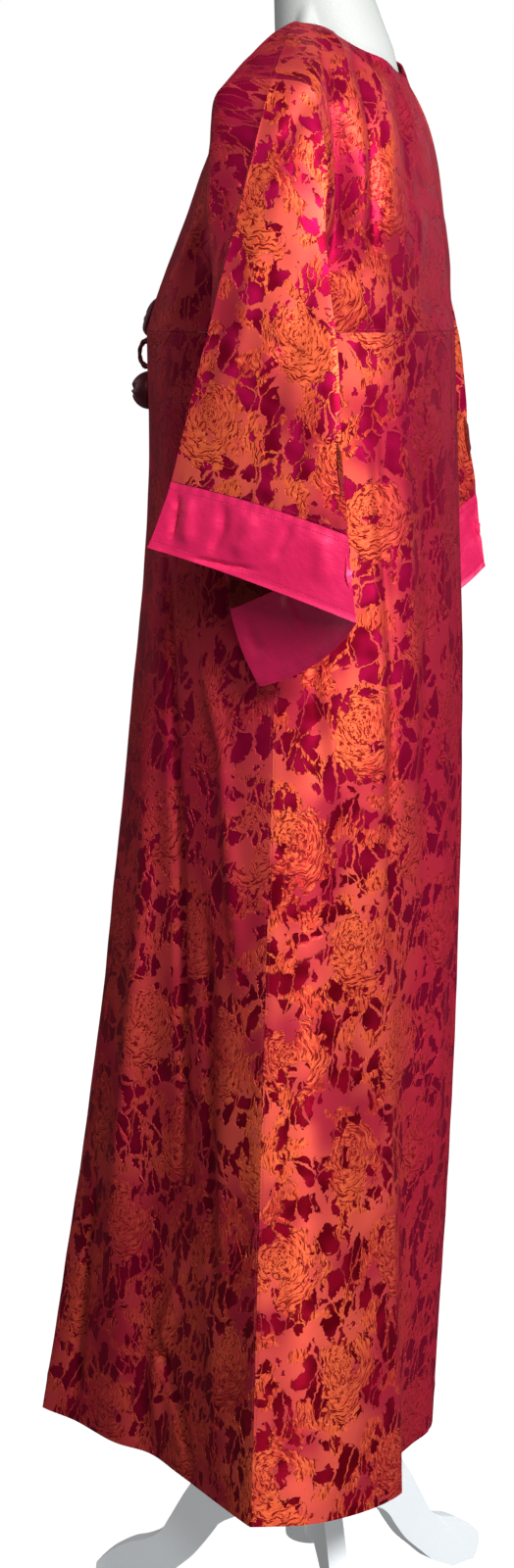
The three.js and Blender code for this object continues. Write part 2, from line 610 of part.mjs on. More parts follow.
// A leg cut from a board: its outline in the upright plane through the stand's axis, swept by the thickness
function legGeometry(bearing) {
  const root = HUB.radius + SEAM_GAP;
  const outline = new THREE.Shape();
  outline.moveTo(root, HUB.top - 8);
  outline.splineThru(LEG_UPPER_EDGE.map(([r, z]) => new THREE.Vector2(r, z)));
  outline.quadraticCurveTo(TOE.front, TOE.height, TOE.tip, 0);
  outline.lineTo(TOE.heel, 0);
  outline.splineThru(LEG_LOWER_EDGE.map(([r, z]) => new THREE.Vector2(r, z)));
  outline.lineTo(root, HUB.bottom + 12);
  outline.closePath();
  const leg = new THREE.ExtrudeGeometry(outline, {
    depth: LEG_THICKNESS,
    bevelEnabled: false,
    curveSegments: 3,
  });
  leg.translate(0, 0, -LEG_THICKNESS / 2);
  leg.rotateX(Math.PI / 2);
  leg.rotateZ(radians(bearing));
  return leg;
}

makeSkirt();
makeBodice();
makeSleeves();
makeBow();
makeForm();
makeStand();

// Sets the origin under the middle of the whole object
const box = new THREE.Box3().setFromObject(object);
const middle = box.getCenter(new THREE.Vector3());
object.position.set(-middle.x, -middle.y, -box.min.z);

const part = new THREE.Group();
part.add(object);
export default part;
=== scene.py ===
import math

import bpy
import numpy as np
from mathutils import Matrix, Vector


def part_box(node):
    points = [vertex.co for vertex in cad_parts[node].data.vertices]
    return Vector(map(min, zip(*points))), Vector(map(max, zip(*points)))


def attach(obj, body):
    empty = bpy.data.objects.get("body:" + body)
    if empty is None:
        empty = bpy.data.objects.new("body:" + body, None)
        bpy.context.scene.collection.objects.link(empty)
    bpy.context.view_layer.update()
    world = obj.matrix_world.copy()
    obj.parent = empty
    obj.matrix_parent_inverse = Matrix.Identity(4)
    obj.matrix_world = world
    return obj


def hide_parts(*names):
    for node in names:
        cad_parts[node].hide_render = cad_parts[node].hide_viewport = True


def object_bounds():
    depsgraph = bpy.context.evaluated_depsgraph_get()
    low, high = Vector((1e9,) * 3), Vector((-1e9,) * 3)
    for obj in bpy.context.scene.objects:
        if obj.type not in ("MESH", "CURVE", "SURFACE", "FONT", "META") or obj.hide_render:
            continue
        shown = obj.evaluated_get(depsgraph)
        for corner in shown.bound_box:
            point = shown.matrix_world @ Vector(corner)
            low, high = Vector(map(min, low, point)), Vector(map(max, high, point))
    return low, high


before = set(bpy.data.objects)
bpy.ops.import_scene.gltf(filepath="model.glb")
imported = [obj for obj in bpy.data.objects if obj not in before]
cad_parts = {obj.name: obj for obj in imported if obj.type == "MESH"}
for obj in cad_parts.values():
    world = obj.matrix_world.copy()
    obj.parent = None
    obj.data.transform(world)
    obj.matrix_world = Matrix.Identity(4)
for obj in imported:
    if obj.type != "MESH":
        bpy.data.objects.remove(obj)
CAD_BOX = [[float(v) for v in corner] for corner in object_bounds()]

# Everything below is worked out in millimetres round the stand's axis and set down in metres on it
MM = 0.001
pole_low, pole_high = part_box("stand_pole")
AXIS = np.array([(pole_low[0] + pole_high[0]) / 2, (pole_low[1] + pole_high[1]) / 2, 0.0])

# The camera: where the photograph was taken from, round the stand's axis
CAMERA_BEARING = math.radians(16.5)
CAMERA_DISTANCE = 3.0
CAMERA_HEIGHT = 1.44
CAMERA_SIDE = -0.058
CAMERA_LENS = 67.5
# The horizon lies 520 px above the photograph's middle, at a focal length of 3000 px
CAMERA_TILT = math.atan(520 / 3000)
WHITE = (1, 1, 1, 1)

# Cloth: its thickness, the gap at a seam and how far each piece's edge keeps from the seam's line
CLOTH = 1.8
SEAM = 0.3
EDGE_GAP = SEAM / 2 + 0.03
HEM = 230
EMPIRE_SEAM = 1385
SIDE_BEARING = 93.7

# The skirt's lines: bearing, then the distance from the axis at the hem, knee, hip, waist and seam,
# the right half's at the hem and knee, and how sharp the line is
SKIRT_STOPS = np.array([HEM, 640, 1020, 1220, EMPIRE_SEAM], float)
SKIRT_LINES = [
    # bearing, hem, knee, hip, waist, seam, right hem, right knee, crease
    (0, 295, 226, 184, 168, 168, 295, 226, 0),
    (11.6, 292, 228, 186, 168, 168, 288, 227, 0.7),
    (19.3, 254, 222, 185, 168, 169, 258, 221, 0.2),
    (35.1, 221, 204, 182, 168, 171, 228, 206, 0),
    (47.2, 198, 184, 176, 167, 171, 208, 188, 0),
    (64.2, 207, 186, 176, 165, 168, 214, 190, 0),
    (80, 238, 210, 183, 164, 166, 243, 212, 0),
    (93.7, 293, 241, 190, 164, 165, 293, 241, 1),
    (105.3, 279, 231, 185, 160, 161, 248, 218, 0),
    (117.5, 253, 211, 172, 153, 153, 192, 187, 0),
    (129.9, 221, 189, 176, 159, 155, 160, 175, 0.5),
    (141, 152, 161, 166, 155, 150, 143, 160, 0),
    (157.7, 131, 152, 154, 149, 142, 131, 151, 0),
    (180, 131, 150, 154, 146, 142, 131, 150, 0),
]
SIDE_LINE = 7
SKIRT_SPAN_STEPS = 14
SKIRT_ROWS = 150

# The bodice's guides: bearing on the empire seam, then the points low, mid, high, ridge and top
FRONT_GUIDES = [
    (0, (0, -155, 1430), (0, -134, 1490), (0, -112, 1540), (0, -98, 1572), (0, -84, 1598)),
    (16.5, (48, -146, 1433), (46, -121, 1495), (44, -100, 1550), (43, -84, 1588), (42, -66, 1622)),
    (33, (92, -127, 1435), (86, -104, 1500), (80, -76, 1580), (72, -26, 1664), (68, -3, 1682)),
    (53, (136, -97, 1432), (134, -82, 1500), (131, -62, 1580), (127, -33, 1643), (126, 3, 1655)),
    (SIDE_BEARING, (177, 9, 1431), (172, -44, 1482), (177, -53, 1565), (190, -40, 1612), (188, 10, 1620)),
]
BACK_GUIDES = [
    (SIDE_BEARING, (177, 9, 1431), (172, 58, 1482), (177, 64, 1560), (190, 50, 1610), (188, 10, 1620)),
    (126, (138, 86, 1434), (137, 89, 1500), (132, 76, 1585), (128, 46, 1645), (126, 3, 1655)),
    (146, (94, 115, 1437), (92, 110, 1500), (86, 90, 1590), (74, 42, 1664), (68, -3, 1682)),
    (163, (46, 127, 1437), (46, 121, 1495), (45, 107, 1565), (43, 90, 1612), (40, 70, 1650)),
    (180, (0, 136, 1437), (0, 129, 1495), (0, 117, 1560), (0, 105, 1600), (0, 92, 1630)),
]
NECK_POINT = 2
BODICE_SPAN_STEPS = 20
BODICE_LEVEL_STEPS = 22
# The neckline's waves, in radians across a panel, and their height
NECK_WAVES = 34
NECK_WAVE_HEIGHT = 1.3
# Folds from the shoulder on the back: across, width, from, height, at the top
BODICE_FOLDS = [(0.6, 0.09, 0.4, 6, 3), (0.34, 0.1, 0.25, -5, 0)]

# The left sleeve's sections: crease, underarm and back lines, then the outer, inner and front pushes
SLEEVE_SECTIONS = [
    ((252, -91, 1184), (207, 4, 1050), (281, 118, 1123), (6, 0, 4), (-5, 6, -9), (-46, -2, 46)),
    ((252, -68, 1247), (200, -26, 1123), (276, 109, 1203), (9, 0, 5), (-8, 8, -4), (-40, 4, 20)),
    ((248, -44, 1346), (196, -26, 1240), (260, 93, 1346), (10, 0, 2), (-8, 8, -2), (-16, -4, 4)),
    ((235, -15, 1468), (191, -6, 1352), (235, 76, 1466), (9, 0, 0), (-2, 5, -2), (2, -28, 4)),
    ((217, 4, 1560), (187, 9, 1407), (211, 67, 1553), (8, 0, 4), (-1, 4, 0), (4, -56, 14)),
]
ARMHOLE_START = {"crease": 1, "under": 0.2, "back": 0.8}
SLEEVE_ARC_STEPS = 54
SLEEVE_SECTION_STEPS = 24
CUFF_STEPS = 28
# How far the sleeve and the cuff each stop short of their seam
CUFF_TRIM = 0.3

# The bow's lobes: name, side, inner, outer, low, high, proud, seat
BOW_LOBES = [
    ("bow_loop_left", 1, 4, 40, 1378, 1417, 8, 1.5),
    ("bow_loop_right", -1, 4, 40, 1378, 1417, 8, 1.5),
    ("bow_lobe_left", 1, 3, 38, 1304, 1343, 19, 0.7),
    ("bow_lobe_right", -1, 3, 38, 1304, 1343, 19, 0.7),
]
BOW_RING = {"height": 1360, "radius": 13, "tube": 2.6, "stand_off": 0.5}

# The form: height, then the half width, front and back of the body, then those of the neck
FORM_LEVELS = [
    (900, 132, -88, 92, 1, 0, 12),
    (915, 146, -100, 104, 1, 0, 12),
    (1020, 158, -114, 116, 1, 0, 12),
    (1130, 136, -98, 98, 1, 0, 12),
    (1225, 118, -88, 84, 1, 0, 12),
    (1330, 130, -108, 94, 1, 0, 12),
    (1430, 145, -126, 104, 1, 0, 12),
    (1500, 154, -100, 102, 1, 0, 12),
    (1560, 164, -70, 86, 1, 0, 12),
    (1590, 172, -46, 62, 50, -52, 86),
    (1617, 169, -34, 46, 51, -46, 88),
    (1638, 152, -27, 36, 51, -42, 85),
    (1653, 116, -20, 30, 51, -40, 81),
    (1667, 82, -18, 26, 50, -40, 76),
    (1676, 60, -18, 24, 50, -40, 72),
    (1706, 46, -18, 22, 49, -41, 60),
    (1742, 44, -18, 18, 49, -43, 44),
    (1748, 40, -18, 14, 45, -39, 40),
]
FORM_MIDDLE = 6
FORM_SIDES = 96


def smooth(t):
    t = np.clip(t, 0, 1)
    return t * t * (3 - 2 * t)


def on_bearing(bearing, radius, z):
    turn = np.radians(bearing)
    return np.stack(np.broadcast_arrays(radius * np.sin(turn), -radius * np.cos(turn), z), axis=-1)


def through_heights(values, z):
    """Smooth curves through the skirt's named heights: values (5, lines), z (rows) -> (rows, lines)."""
    stops, last = SKIRT_STOPS, len(SKIRT_STOPS) - 1
    i = np.clip(np.searchsorted(stops, z, side="left") - 1, 0, last - 1)

    def slope(k):
        low, high = np.maximum(0, k - 1), np.minimum(last, k + 1)
        return (values[high] - values[low]) / (stops[high] - stops[low])[:, None]

    span = (stops[i + 1] - stops[i])[:, None]
    t = (z - stops[i])[:, None] / span
    bend = t * t * (3 - 2 * t)
    rise = slope(i) * span * t * (1 - t) ** 2 - slope(i + 1) * span * t * t * (1 - t)
    return values[i] * (1 - bend) + values[i + 1] * bend + rise


def through_points(points, crease, steps, closed=False):
    """Curves through points (rows, n, 3); a point's crease turns its tangent into its own chord."""
    n = points.shape[1]
    spans = n if closed else n - 1
    idx = np.arange(spans)
    crease = np.broadcast_to(np.asarray(crease, float), points.shape[:2])

    def pick(array, k):
        return array[:, k % n] if closed else array[:, np.clip(k, 0, n - 1)]

    a, b = pick(points, idx), pick(points, idx + 1)
    chord = b - a

    def tangent(k):
        even = 0.5 * (pick(points, k + 1) - pick(points, k - 1))
        sharp = pick(crease, k)[..., None]
        return even * (1 - sharp) + chord * sharp

    ma, mb = tangent(idx)[:, :, None], tangent(idx + 1)[:, :, None]
    t = (np.arange(steps) / steps)[None, None, :, None]
    bend = t * t * (3 - 2 * t)
    out = a[:, :, None] * (1 - bend) + b[:, :, None] * bend
    out = out + ma * t * (1 - t) ** 2 - mb * t * t * (1 - t)
    out = out.reshape(points.shape[0], spans * steps, 3)
    return out if closed else np.concatenate([out, points[:, -1:]], axis=1)


def unit(vectors):
    return vectors / np.maximum(1e-9, np.linalg.norm(vectors, axis=-1, keepdims=True))


def grid_normals(rows, closed):
    """Unit normals of a grid whose columns run counterclockwise from above and whose rows run up."""
    if closed:
        along = np.roll(rows, -1, axis=1) - np.roll(rows, 1, axis=1)
    else:
        padded = np.concatenate([rows[:, :1], rows, rows[:, -1:]], axis=1)
        along = padded[:, 2:] - padded[:, :-2]
    padded = np.concatenate([rows[:1], rows, rows[-1:]], axis=0)
    return unit(np.cross(along, padded[2:] - padded[:-2]))


def lengths_along(rows):
    """The length of the cloth along each row from its first point, (rows, columns)."""
    step = np.linalg.norm(np.diff(rows, axis=1), axis=-1)
    return np.concatenate([np.zeros((len(rows), 1)), np.cumsum(step, axis=1)], axis=1)


def lengths_up(rows):
    return lengths_along(rows.transpose(1, 0, 2)).T


def turned_flat(normals, axis):
    """Normals with one of their components taken out."""
    out = normals.copy()
    out[..., axis] = 0
    return unit(out)


def pulled_in(grid, left=0, right=0, bottom=0, top=0):
    """The grid with its edge rows and columns moved towards their neighbours, in millimetres."""
    out = grid.copy()
    for edge, neighbour, gap in (
        (np.s_[:, 0], np.s_[:, 1], left),
        (np.s_[:, -1], np.s_[:, -2], right),
        (np.s_[0], np.s_[1], bottom),
        (np.s_[-1], np.s_[-2], top),
    ):
        if gap:
            out[edge] = out[edge] + unit(out[neighbour] - out[edge]) * gap
    return out


def grid_places(height, width, columns):
    """The row and column of each face of a grid, and the column after it, which may be the first."""
    j, i = np.meshgrid(np.arange(height - 1), np.arange(columns), indexing="ij")
    return j.ravel(), i.ravel(), (i.ravel() + 1) % width


def ring_faces(height, around):
    """The faces between rings of points."""
    j, i, after = grid_places(height, around, around)
    corners = [(j, i), (j, after), (j + 1, after), (j + 1, i)]
    return np.stack([row * around + column for row, column in corners], axis=1)


def troughs(where, lines):
    """Soft troughs (depth below 0) and ridges along given lines: points, width, depth."""
    total = np.zeros(where.shape[:-1])
    for points, width, depth in lines:
        points = np.array(points, float)
        legs = np.diff(points, axis=0)
        reach = np.linalg.norm(legs, axis=1)
        start = np.concatenate([[0], np.cumsum(reach)])
        nearest = np.full(where.shape[:-1], 1e9)
        along = np.zeros(where.shape[:-1])
        for k, leg in enumerate(legs):
            off = where - points[k]
            t = np.clip((off @ leg) / (reach[k] ** 2), 0, 1)
            gap = np.linalg.norm(off - t[..., None] * leg, axis=-1)
            closer = gap < nearest
            nearest = np.where(closer, gap, nearest)
            along = np.where(closer, (start[k] + t * reach[k]) / start[-1], along)
        fade = 0.3
        taper = smooth(along / fade) * smooth((1 - along) / fade)
        total += depth * np.exp(-((nearest / width) ** 2)) * taper
    return total


def unevenness(where, size, seed):
    """A slow wandering of the cloth, from -1 to 1, over lengths of about `size` millimetres."""
    turns = np.random.RandomState(seed).uniform(0, 2 * np.pi, (5, 2))
    total = np.zeros(where.shape[:-1])
    for k, (way, phase) in enumerate(turns):
        scale = 2 * np.pi / (size * (0.7 + 0.28 * k))
        across = where[..., 0] * math.cos(way) * 1.6 + where[..., 1] * math.sin(way)
        total += np.sin(across * scale + phase)
    return total / 5


def new_piece(name, points, faces, materials, face_material=None, uv=None, sharp=50):
    """A mesh piece from points in millimetres round the axis."""
    mesh = bpy.data.meshes.new(name)
    mesh.from_pydata((points * MM + AXIS).tolist(), [], faces.tolist())
    for material in materials:
        mesh.materials.append(material)
    if face_material is not None:
        mesh.polygons.foreach_set("material_index", face_material.astype(np.int32))
    if uv is not None:
        layer = mesh.uv_layers.new(name="cloth")
        layer.data.foreach_set("uv", uv.astype(np.float32).ravel())
    mesh.polygons.foreach_set("use_smooth", np.ones(len(mesh.polygons), bool))
    mesh.set_sharp_from_angle(angle=math.radians(sharp))
    mesh.update()
    piece = bpy.data.objects.new(name, mesh)
    bpy.context.collection.objects.link(piece)
    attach(piece, "root")
    return piece


def edge_distance(outer, sides):
    """How far each point of a piece lies from its sewn edges, along the cloth, in metres."""
    across, up = lengths_along(outer), lengths_up(outer)
    ways = {"left": across, "right": across[:, -1:] - across, "bottom": up, "top": up[-1:] - up}
    nearest = np.full(outer.shape[:2], 1000.0)
    for side in sides:
        nearest = np.minimum(nearest, ways[side])
    return nearest * MM


def add_value(piece, name, values):
    """A number for each point of the cloth's face, and the same again for its reverse."""
    made = piece.data.attributes.new(name, "FLOAT", "POINT")
    once = values.ravel().astype(np.float32)
    made.data.foreach_set("value", np.concatenate([once, once]))


def cloth_piece(name, outer, inner, uv, materials, closed=False, weft_light=None, sewn=(), magenta=1.0):
    """A closed shell of cloth between two grids. materials are the face's and the reverse's.
    weft_light and magenta are how far the orange threads show in the painted light and painted shade, and how
    far the brighter satin shows, at each point, 0 to 1."""
    height, width = outer.shape[:2]
    columns = width if closed else width - 1
    j, i, after = grid_places(height, width, columns)
    below = height * width
    corners = [(j, i, i), (j, after, i + 1), (j + 1, after, i + 1), (j + 1, i, i)]
    face_out = np.stack([a * width + b for a, b, _ in corners], axis=1)
    uv_width = uv.shape[1]
    uv_out = np.stack([a * uv_width + c for a, _, c in corners], axis=1)
    order = [0, 3, 2, 1]
    faces = [face_out, face_out[:, order] + below]
    marks = [uv_out, uv_out[:, order]]

    def rim(row_a, col_a, uvcol_a, row_b, col_b, uvcol_b, turned):
        a, b = row_a * width + col_a, row_b * width + col_b
        ua, ub = row_a * uv_width + uvcol_a, row_b * uv_width + uvcol_b
        quad = np.stack([a, b, b + below, a + below], axis=1)
        mark = np.stack([ua, ub, ub, ua], axis=1)
        faces.append(quad[:, order] if turned else quad)
        marks.append(mark[:, order] if turned else mark)

    edge = np.arange(columns)
    zero = np.zeros(columns, int)
    rim(zero, edge, edge, zero, (edge + 1) % width, edge + 1, True)
    top = zero + height - 1
    rim(top, edge, edge, top, (edge + 1) % width, edge + 1, False)
    if not closed:
        side = np.arange(height - 1)
        none = np.zeros(height - 1, int)
        rim(side, none, none, side + 1, none, none, False)
        far = none + width - 1
        rim(side, far, far, side + 1, far, far, True)
    face_material = np.concatenate([np.full(len(f), k == 1) for k, f in enumerate(faces)])
    flat_uv = uv.reshape(-1, 2)
    corner_uv = flat_uv[np.concatenate(marks)].reshape(-1, 2) * MM
    points = np.concatenate([outer.reshape(-1, 3), inner.reshape(-1, 3)])
    piece = new_piece(name, points, np.concatenate(faces), materials, face_material, corner_uv)
    if weft_light is not None:
        add_value(piece, "weft_light", np.broadcast_to(weft_light, outer.shape[:2]))
        add_value(piece, "magenta", np.broadcast_to(magenta, outer.shape[:2]))
    add_value(piece, "edge", edge_distance(outer, sewn))
    return piece


def area_of(grid, closed=False):
    """The area of one face of the cloth, in square metres."""
    if closed:
        grid = np.concatenate([grid, grid[:, :1]], axis=1)
    a = grid[1:, 1:] - grid[:-1, :-1]
    b = grid[1:, :-1] - grid[:-1, 1:]
    return float(np.linalg.norm(np.cross(a, b), axis=-1).sum() / 2 * MM * MM)


# The materials are set here, before the pieces that wear them


class Nodes:
    """A short way to write a material's nodes."""

    def __init__(self, name):
        self.material = bpy.data.materials.new(name)
        self.material.use_nodes = True
        self.tree = self.material.node_tree
        self.shader = self.tree.nodes["Principled BSDF"]

    def node(self, kind, **settings):
        made = self.tree.nodes.new(kind)
        for key, value in settings.items():
            setattr(made, key, value)
        return made

    def feed(self, made, inputs):
        """Sets or links a node's inputs, given by their names or places."""
        for key, value in inputs.items():
            if isinstance(value, bpy.types.NodeSocket):
                self.tree.links.new(value, made.inputs[key])
            elif value is not None:
                made.inputs[key].default_value = value
        return made

    def math(self, operation, *values):
        made = self.node("ShaderNodeMath", operation=operation)
        return self.feed(made, dict(enumerate(values))).outputs[0]

    def times(self, a, b):
        return self.math("MULTIPLY", a, b)

    def minus(self, a, b):
        return self.math("SUBTRACT", a, b)

    def plus(self, total, *more):
        for value in more:
            total = self.math("ADD", total, value)
        return total

    def either(self, a, b):
        return self.math("MAXIMUM", a, b)

    def vector(self, operation, a, b=None, scale=None):
        made = self.node("ShaderNodeVectorMath", operation=operation)
        self.feed(made, {0: a, 1: b, "Scale": scale})
        return made.outputs["Value" if operation == "LENGTH" else "Vector"]

    def moved(self, vector, by, scale):
        return self.vector("ADD", vector, self.vector("SCALE", by, scale=scale))

    def both_ways(self, colour):
        """A colour from 0 to 1 as a vector from -0.5 to 0.5."""
        return self.vector("SUBTRACT", colour, (0.5, 0.5, 0.5))

    def split(self, vector):
        return self.feed(self.node("ShaderNodeSeparateXYZ"), {0: vector}).outputs[:]

    def join(self, x, y, z=0.0):
        return self.feed(self.node("ShaderNodeCombineXYZ"), {0: x, 1: y, 2: z}).outputs[0]

    def mapped(self, vector, wide, tall, angle=0.0):
        return self.feed(self.node("ShaderNodeMapping"), {
            "Vector": vector, "Rotation": (0, 0, angle), "Scale": (wide, tall, 1.0)}).outputs[0]

    def noise(self, vector, scale, detail=2.0, roughness=0.5, colour=False):
        made = self.feed(self.node("ShaderNodeTexNoise"), {
            "Vector": vector, "Scale": scale, "Detail": detail, "Roughness": roughness})
        return made.outputs["Color" if colour else "Fac"]

    def cells(self, vector):
        """How far each point lies from the edge of its cell."""
        made = self.node("ShaderNodeTexVoronoi", feature="DISTANCE_TO_EDGE")
        return self.feed(made, {"Vector": vector, "Scale": 1.0, "Randomness": 1.0}).outputs["Distance"]

    def cell_colour(self, vector, scale):
        made = self.node("ShaderNodeTexVoronoi", feature="F1")
        return self.feed(made, {"Vector": vector, "Scale": scale}).outputs["Color"]

    def step(self, value, low, high, to_low=0.0, to_high=1.0):
        made = self.node("ShaderNodeMapRange", interpolation_type="SMOOTHSTEP")
        return self.feed(made, {"Value": value, "From Min": low, "From Max": high,
                                "To Min": to_low, "To Max": to_high}).outputs[0]

    def mix(self, factor, a, b):
        return self.feed(self.node("ShaderNodeMix", data_type="RGBA"), {0: factor, 6: a, 7: b}).outputs[2]

    def mix_vector(self, factor, a, b):
        return self.feed(self.node("ShaderNodeMix", data_type="VECTOR"), {0: factor, 4: a, 5: b}).outputs[1]

    def bump(self, height, distance):
        made = self.node("ShaderNodeBump")
        return self.feed(made, {"Strength": 1.0, "Distance": distance, "Height": height}).outputs[0]

    def uv(self):
        return self.node("ShaderNodeUVMap", uv_map="cloth").outputs[0]

    def value(self, name):
        """A number that a piece carries at each of its points."""
        return self.node("ShaderNodeAttribute", attribute_name=name).outputs["Fac"]

    def stitches(self, row):
        """A row of stitches along the piece's sewn edges."""
        place, length = row
        off = self.math("ABSOLUTE", self.minus(self.value("edge"), place))
        u, v, _ = self.split(self.uv())
        beat = self.math("SINE", self.times(self.plus(u, v), 2 * math.pi / length))
        return self.times(self.step(off, *STITCH_SIDE, 1.0, 0.0), self.step(beat, -0.5, -0.1))


def srgb(r, g, b):
    """A colour given as 0 to 255 on the screen, as the shader takes it."""
    out = []
    for v in (r, g, b):
        v = v / 255
        out.append(v / 12.92 if v <= 0.04045 else ((v + 0.055) / 1.055) ** 2.4)
    return (*out, 1.0)


# The brocade's repeat, in metres: blossoms stand in a half drop
BLOSSOM_COLUMN = 0.070
BLOSSOM_REPEAT = 0.208
BLOSSOM_START = (0.028, 0.058)
BLOSSOM_HALF_WIDTH = 0.039
BLOSSOM_HALF_HEIGHT = 0.046
# Its strokes: their heart off the blossom's middle, in half blossoms, their width and their slant
HEART = (0.22, -0.26, 0.0)
STROKE = 0.0017
STROKES_OUT = 0.044 / STROKE
LEAN = 0.75
# How far the pattern wanders, in metres: in slow drifts, in quick waves and at its ragged edges
DRIFT = 0.030
WAVE = 0.010
RAGGED = 0.0052
RAGGED_STEM = 0.0016
# Stitches: their distance from the seam and their length, and where their side fades, in metres
SEAM_STITCH = (0.0026, 0.0034)
BAND_STITCH = (0.0075, 0.0036)
STITCH_SIDE = (0.0002, 0.0005)


def brocade(name, reverse=False):
    """Chrysanthemums of short raised strokes, and stems and leaves between islands of satin."""
    n = Nodes(name)
    uv = n.uv()
    slow = n.both_ways(n.noise(uv, 13.0, 1.0, 0.5, colour=True))
    quick = n.both_ways(n.noise(uv, 75.0, 2.0, 0.6, colour=True))
    jagged = n.both_ways(n.cell_colour(n.moved(uv, quick, 0.008), 190.0))
    drifted = n.moved(uv, slow, DRIFT)
    waved = n.moved(drifted, quick, WAVE)
    torn = n.moved(waved, jagged, RAGGED)

    def lattice(shift_u, shift_v):
        u, v, _ = n.split(waved)
        x = n.math("WRAP", n.minus(u, shift_u), BLOSSOM_COLUMN, -BLOSSOM_COLUMN)
        y = n.math("WRAP", n.minus(v, shift_v), BLOSSOM_REPEAT / 2, -BLOSSOM_REPEAT / 2)
        return n.join(n.math("DIVIDE", x, BLOSSOM_HALF_WIDTH), n.math("DIVIDE", y, BLOSSOM_HALF_HEIGHT))

    start_u, start_v = BLOSSOM_START
    one = lattice(start_u, start_v)
    two = lattice(start_u + BLOSSOM_COLUMN, start_v + BLOSSOM_REPEAT / 2)
    nearer = n.math("LESS_THAN", n.vector("LENGTH", one), n.vector("LENGTH", two))
    local = n.mix_vector(nearer, two, one)
    x, y, _ = n.split(local)
    turn = n.math("ARCTAN2", y, x)
    ragged = n.times(n.noise(uv, 64.0, 3.0, 0.72), 0.95)
    petals = n.times(n.math("ABSOLUTE", n.math("SINE", n.times(turn, 5.0))), 0.08)
    outline = n.plus(n.vector("LENGTH", local), ragged, petals)
    bitten = n.step(n.noise(torn, 21.0, 1.0, 0.5), 0.575, 0.585, 1.0, 0.0)
    blossom = n.times(n.step(outline, 1.36, 1.40, 1.0, 0.0), bitten)

    # Short strokes that run round the heart
    heart = n.vector("ADD", local, HEART)
    reach = n.vector("LENGTH", heart)
    ax, ay, _ = n.split(n.vector("NORMALIZE", heart))
    curl = n.times(n.math("SINE", n.plus(n.times(turn, 8.0), n.times(reach, 11.0))), 0.020)
    ring = n.times(n.plus(reach, curl), STROKES_OUT)
    arcs = n.noise(n.join(ring, n.times(ax, 3.4), n.times(ay, 3.4)), 1.0, 1.0, 0.6)
    rope = n.step(arcs, 0.38, 0.46)

    # Stems between the satin islands, broad in places and thin in others, and ragged leaves on them
    stems = n.moved(waved, jagged, RAGGED_STEM)
    fullness = n.noise(n.vector("ADD", torn, (3.1, 1.7, 0.0)), 34.0, 1.0, 0.5)
    thick = n.step(fullness, 0.36, 0.64, 0.02, 0.20)
    broad = n.minus(n.cells(n.mapped(stems, 46.0, 22.0, LEAN)), thick)
    thin = n.cells(n.mapped(stems, 42.0, 14.0, -0.6))
    web = n.either(n.step(broad, -0.012, 0.012, 1.0, 0.0), n.step(thin, 0.020, 0.034, 1.0, 0.0))
    web = n.either(web, n.step(fullness, 0.545, 0.555))

    # Slanting strokes over part of the leaves
    streaks = n.noise(n.mapped(waved, 1 / STROKE, 105.0, LEAN), 1.0, 1.0, 0.6)
    hatched = n.step(n.noise(drifted, 26.0, 2.0, 0.5), 0.50, 0.53)
    cut = n.times(hatched, n.step(streaks, 0.38, 0.46, 1.0, 0.0))
    leaf = n.times(web, n.minus(1.0, cut))
    raised = n.either(blossom, web)
    outside = n.minus(1.0, blossom)
    strokes = n.either(n.times(blossom, rope), n.times(leaf, outside))

    drift = n.noise(uv, 9.0, 2.0, 0.5)
    shade = n.step(drift, 0.40, 0.62)
    # The satin is a brighter magenta on the bodice and the sleeves than down the skirt
    high = n.value("magenta")
    island = n.step(n.noise(uv, 30.0, 1.0, 0.5), 0.35, 0.65)
    low_satin = n.mix(island, srgb(98, 3, 16), srgb(142, 8, 34))
    high_satin = n.mix(island, srgb(122, 5, 32), srgb(180, 14, 70))
    islands = n.mix(high, low_satin, high_satin)
    # Between the raised strokes lies dark red, partly the ground's own colour and partly painted shade in the
    # gaps
    gap_ground_and_shade = n.mix(drift, srgb(126, 14, 22), srgb(160, 38, 34))
    thread = n.mix(shade, srgb(230, 92, 58), srgb(196, 54, 50))
    # Painted highlight: the strokes' crests are given a brighter orange
    thread = n.mix(n.step(arcs, 0.50, 0.66, 0.0, 0.6), thread, srgb(246, 120, 72))
    plain = n.mix(shade, srgb(226, 88, 72), srgb(176, 42, 60))
    thread = n.mix(n.times(outside, n.minus(1.0, hatched)), thread, plain)
    # The weft shows less towards the centre back and the front, where the cloth looks plum: this is painted
    # light, painted shade towards the front and a painted grazing sheen towards the centre back
    weft_light_value = n.value("weft_light")
    thread = n.mix(weft_light_value, n.mix(high, srgb(198, 38, 66), srgb(160, 24, 60)), thread)
    islands = n.mix(weft_light_value, srgb(136, 8, 50), islands)
    colour = n.mix(strokes, n.mix(raised, islands, gap_ground_and_shade), thread)
    sewn = n.stitches(SEAM_STITCH)
    colour = n.mix(n.times(sewn, 0.4), colour, srgb(206, 76, 84))
    if reverse:
        colour = n.mix(0.75, colour, srgb(88, 22, 26))
    grain = n.noise(uv, 1100.0, 1.0, 0.7)
    relief = n.plus(n.times(strokes, 0.7), n.times(raised, 0.3), n.times(grain, 0.10), n.times(sewn, 0.4))
    n.feed(n.shader, {
        "Base Color": colour,
        "Roughness": n.step(strokes, 0.0, 1.0, 0.36, 0.50),
        "Metallic": 0.45,
        "Sheen Weight": 0.22,
        "Sheen Roughness": 0.4,
        "Sheen Tint": srgb(205, 30, 70),
        "Specular IOR Level": 0.2,
        "Specular Tint": srgb(222, 60, 88),
        "Normal": n.bump(relief, 0.0010),
    })
    return n.material


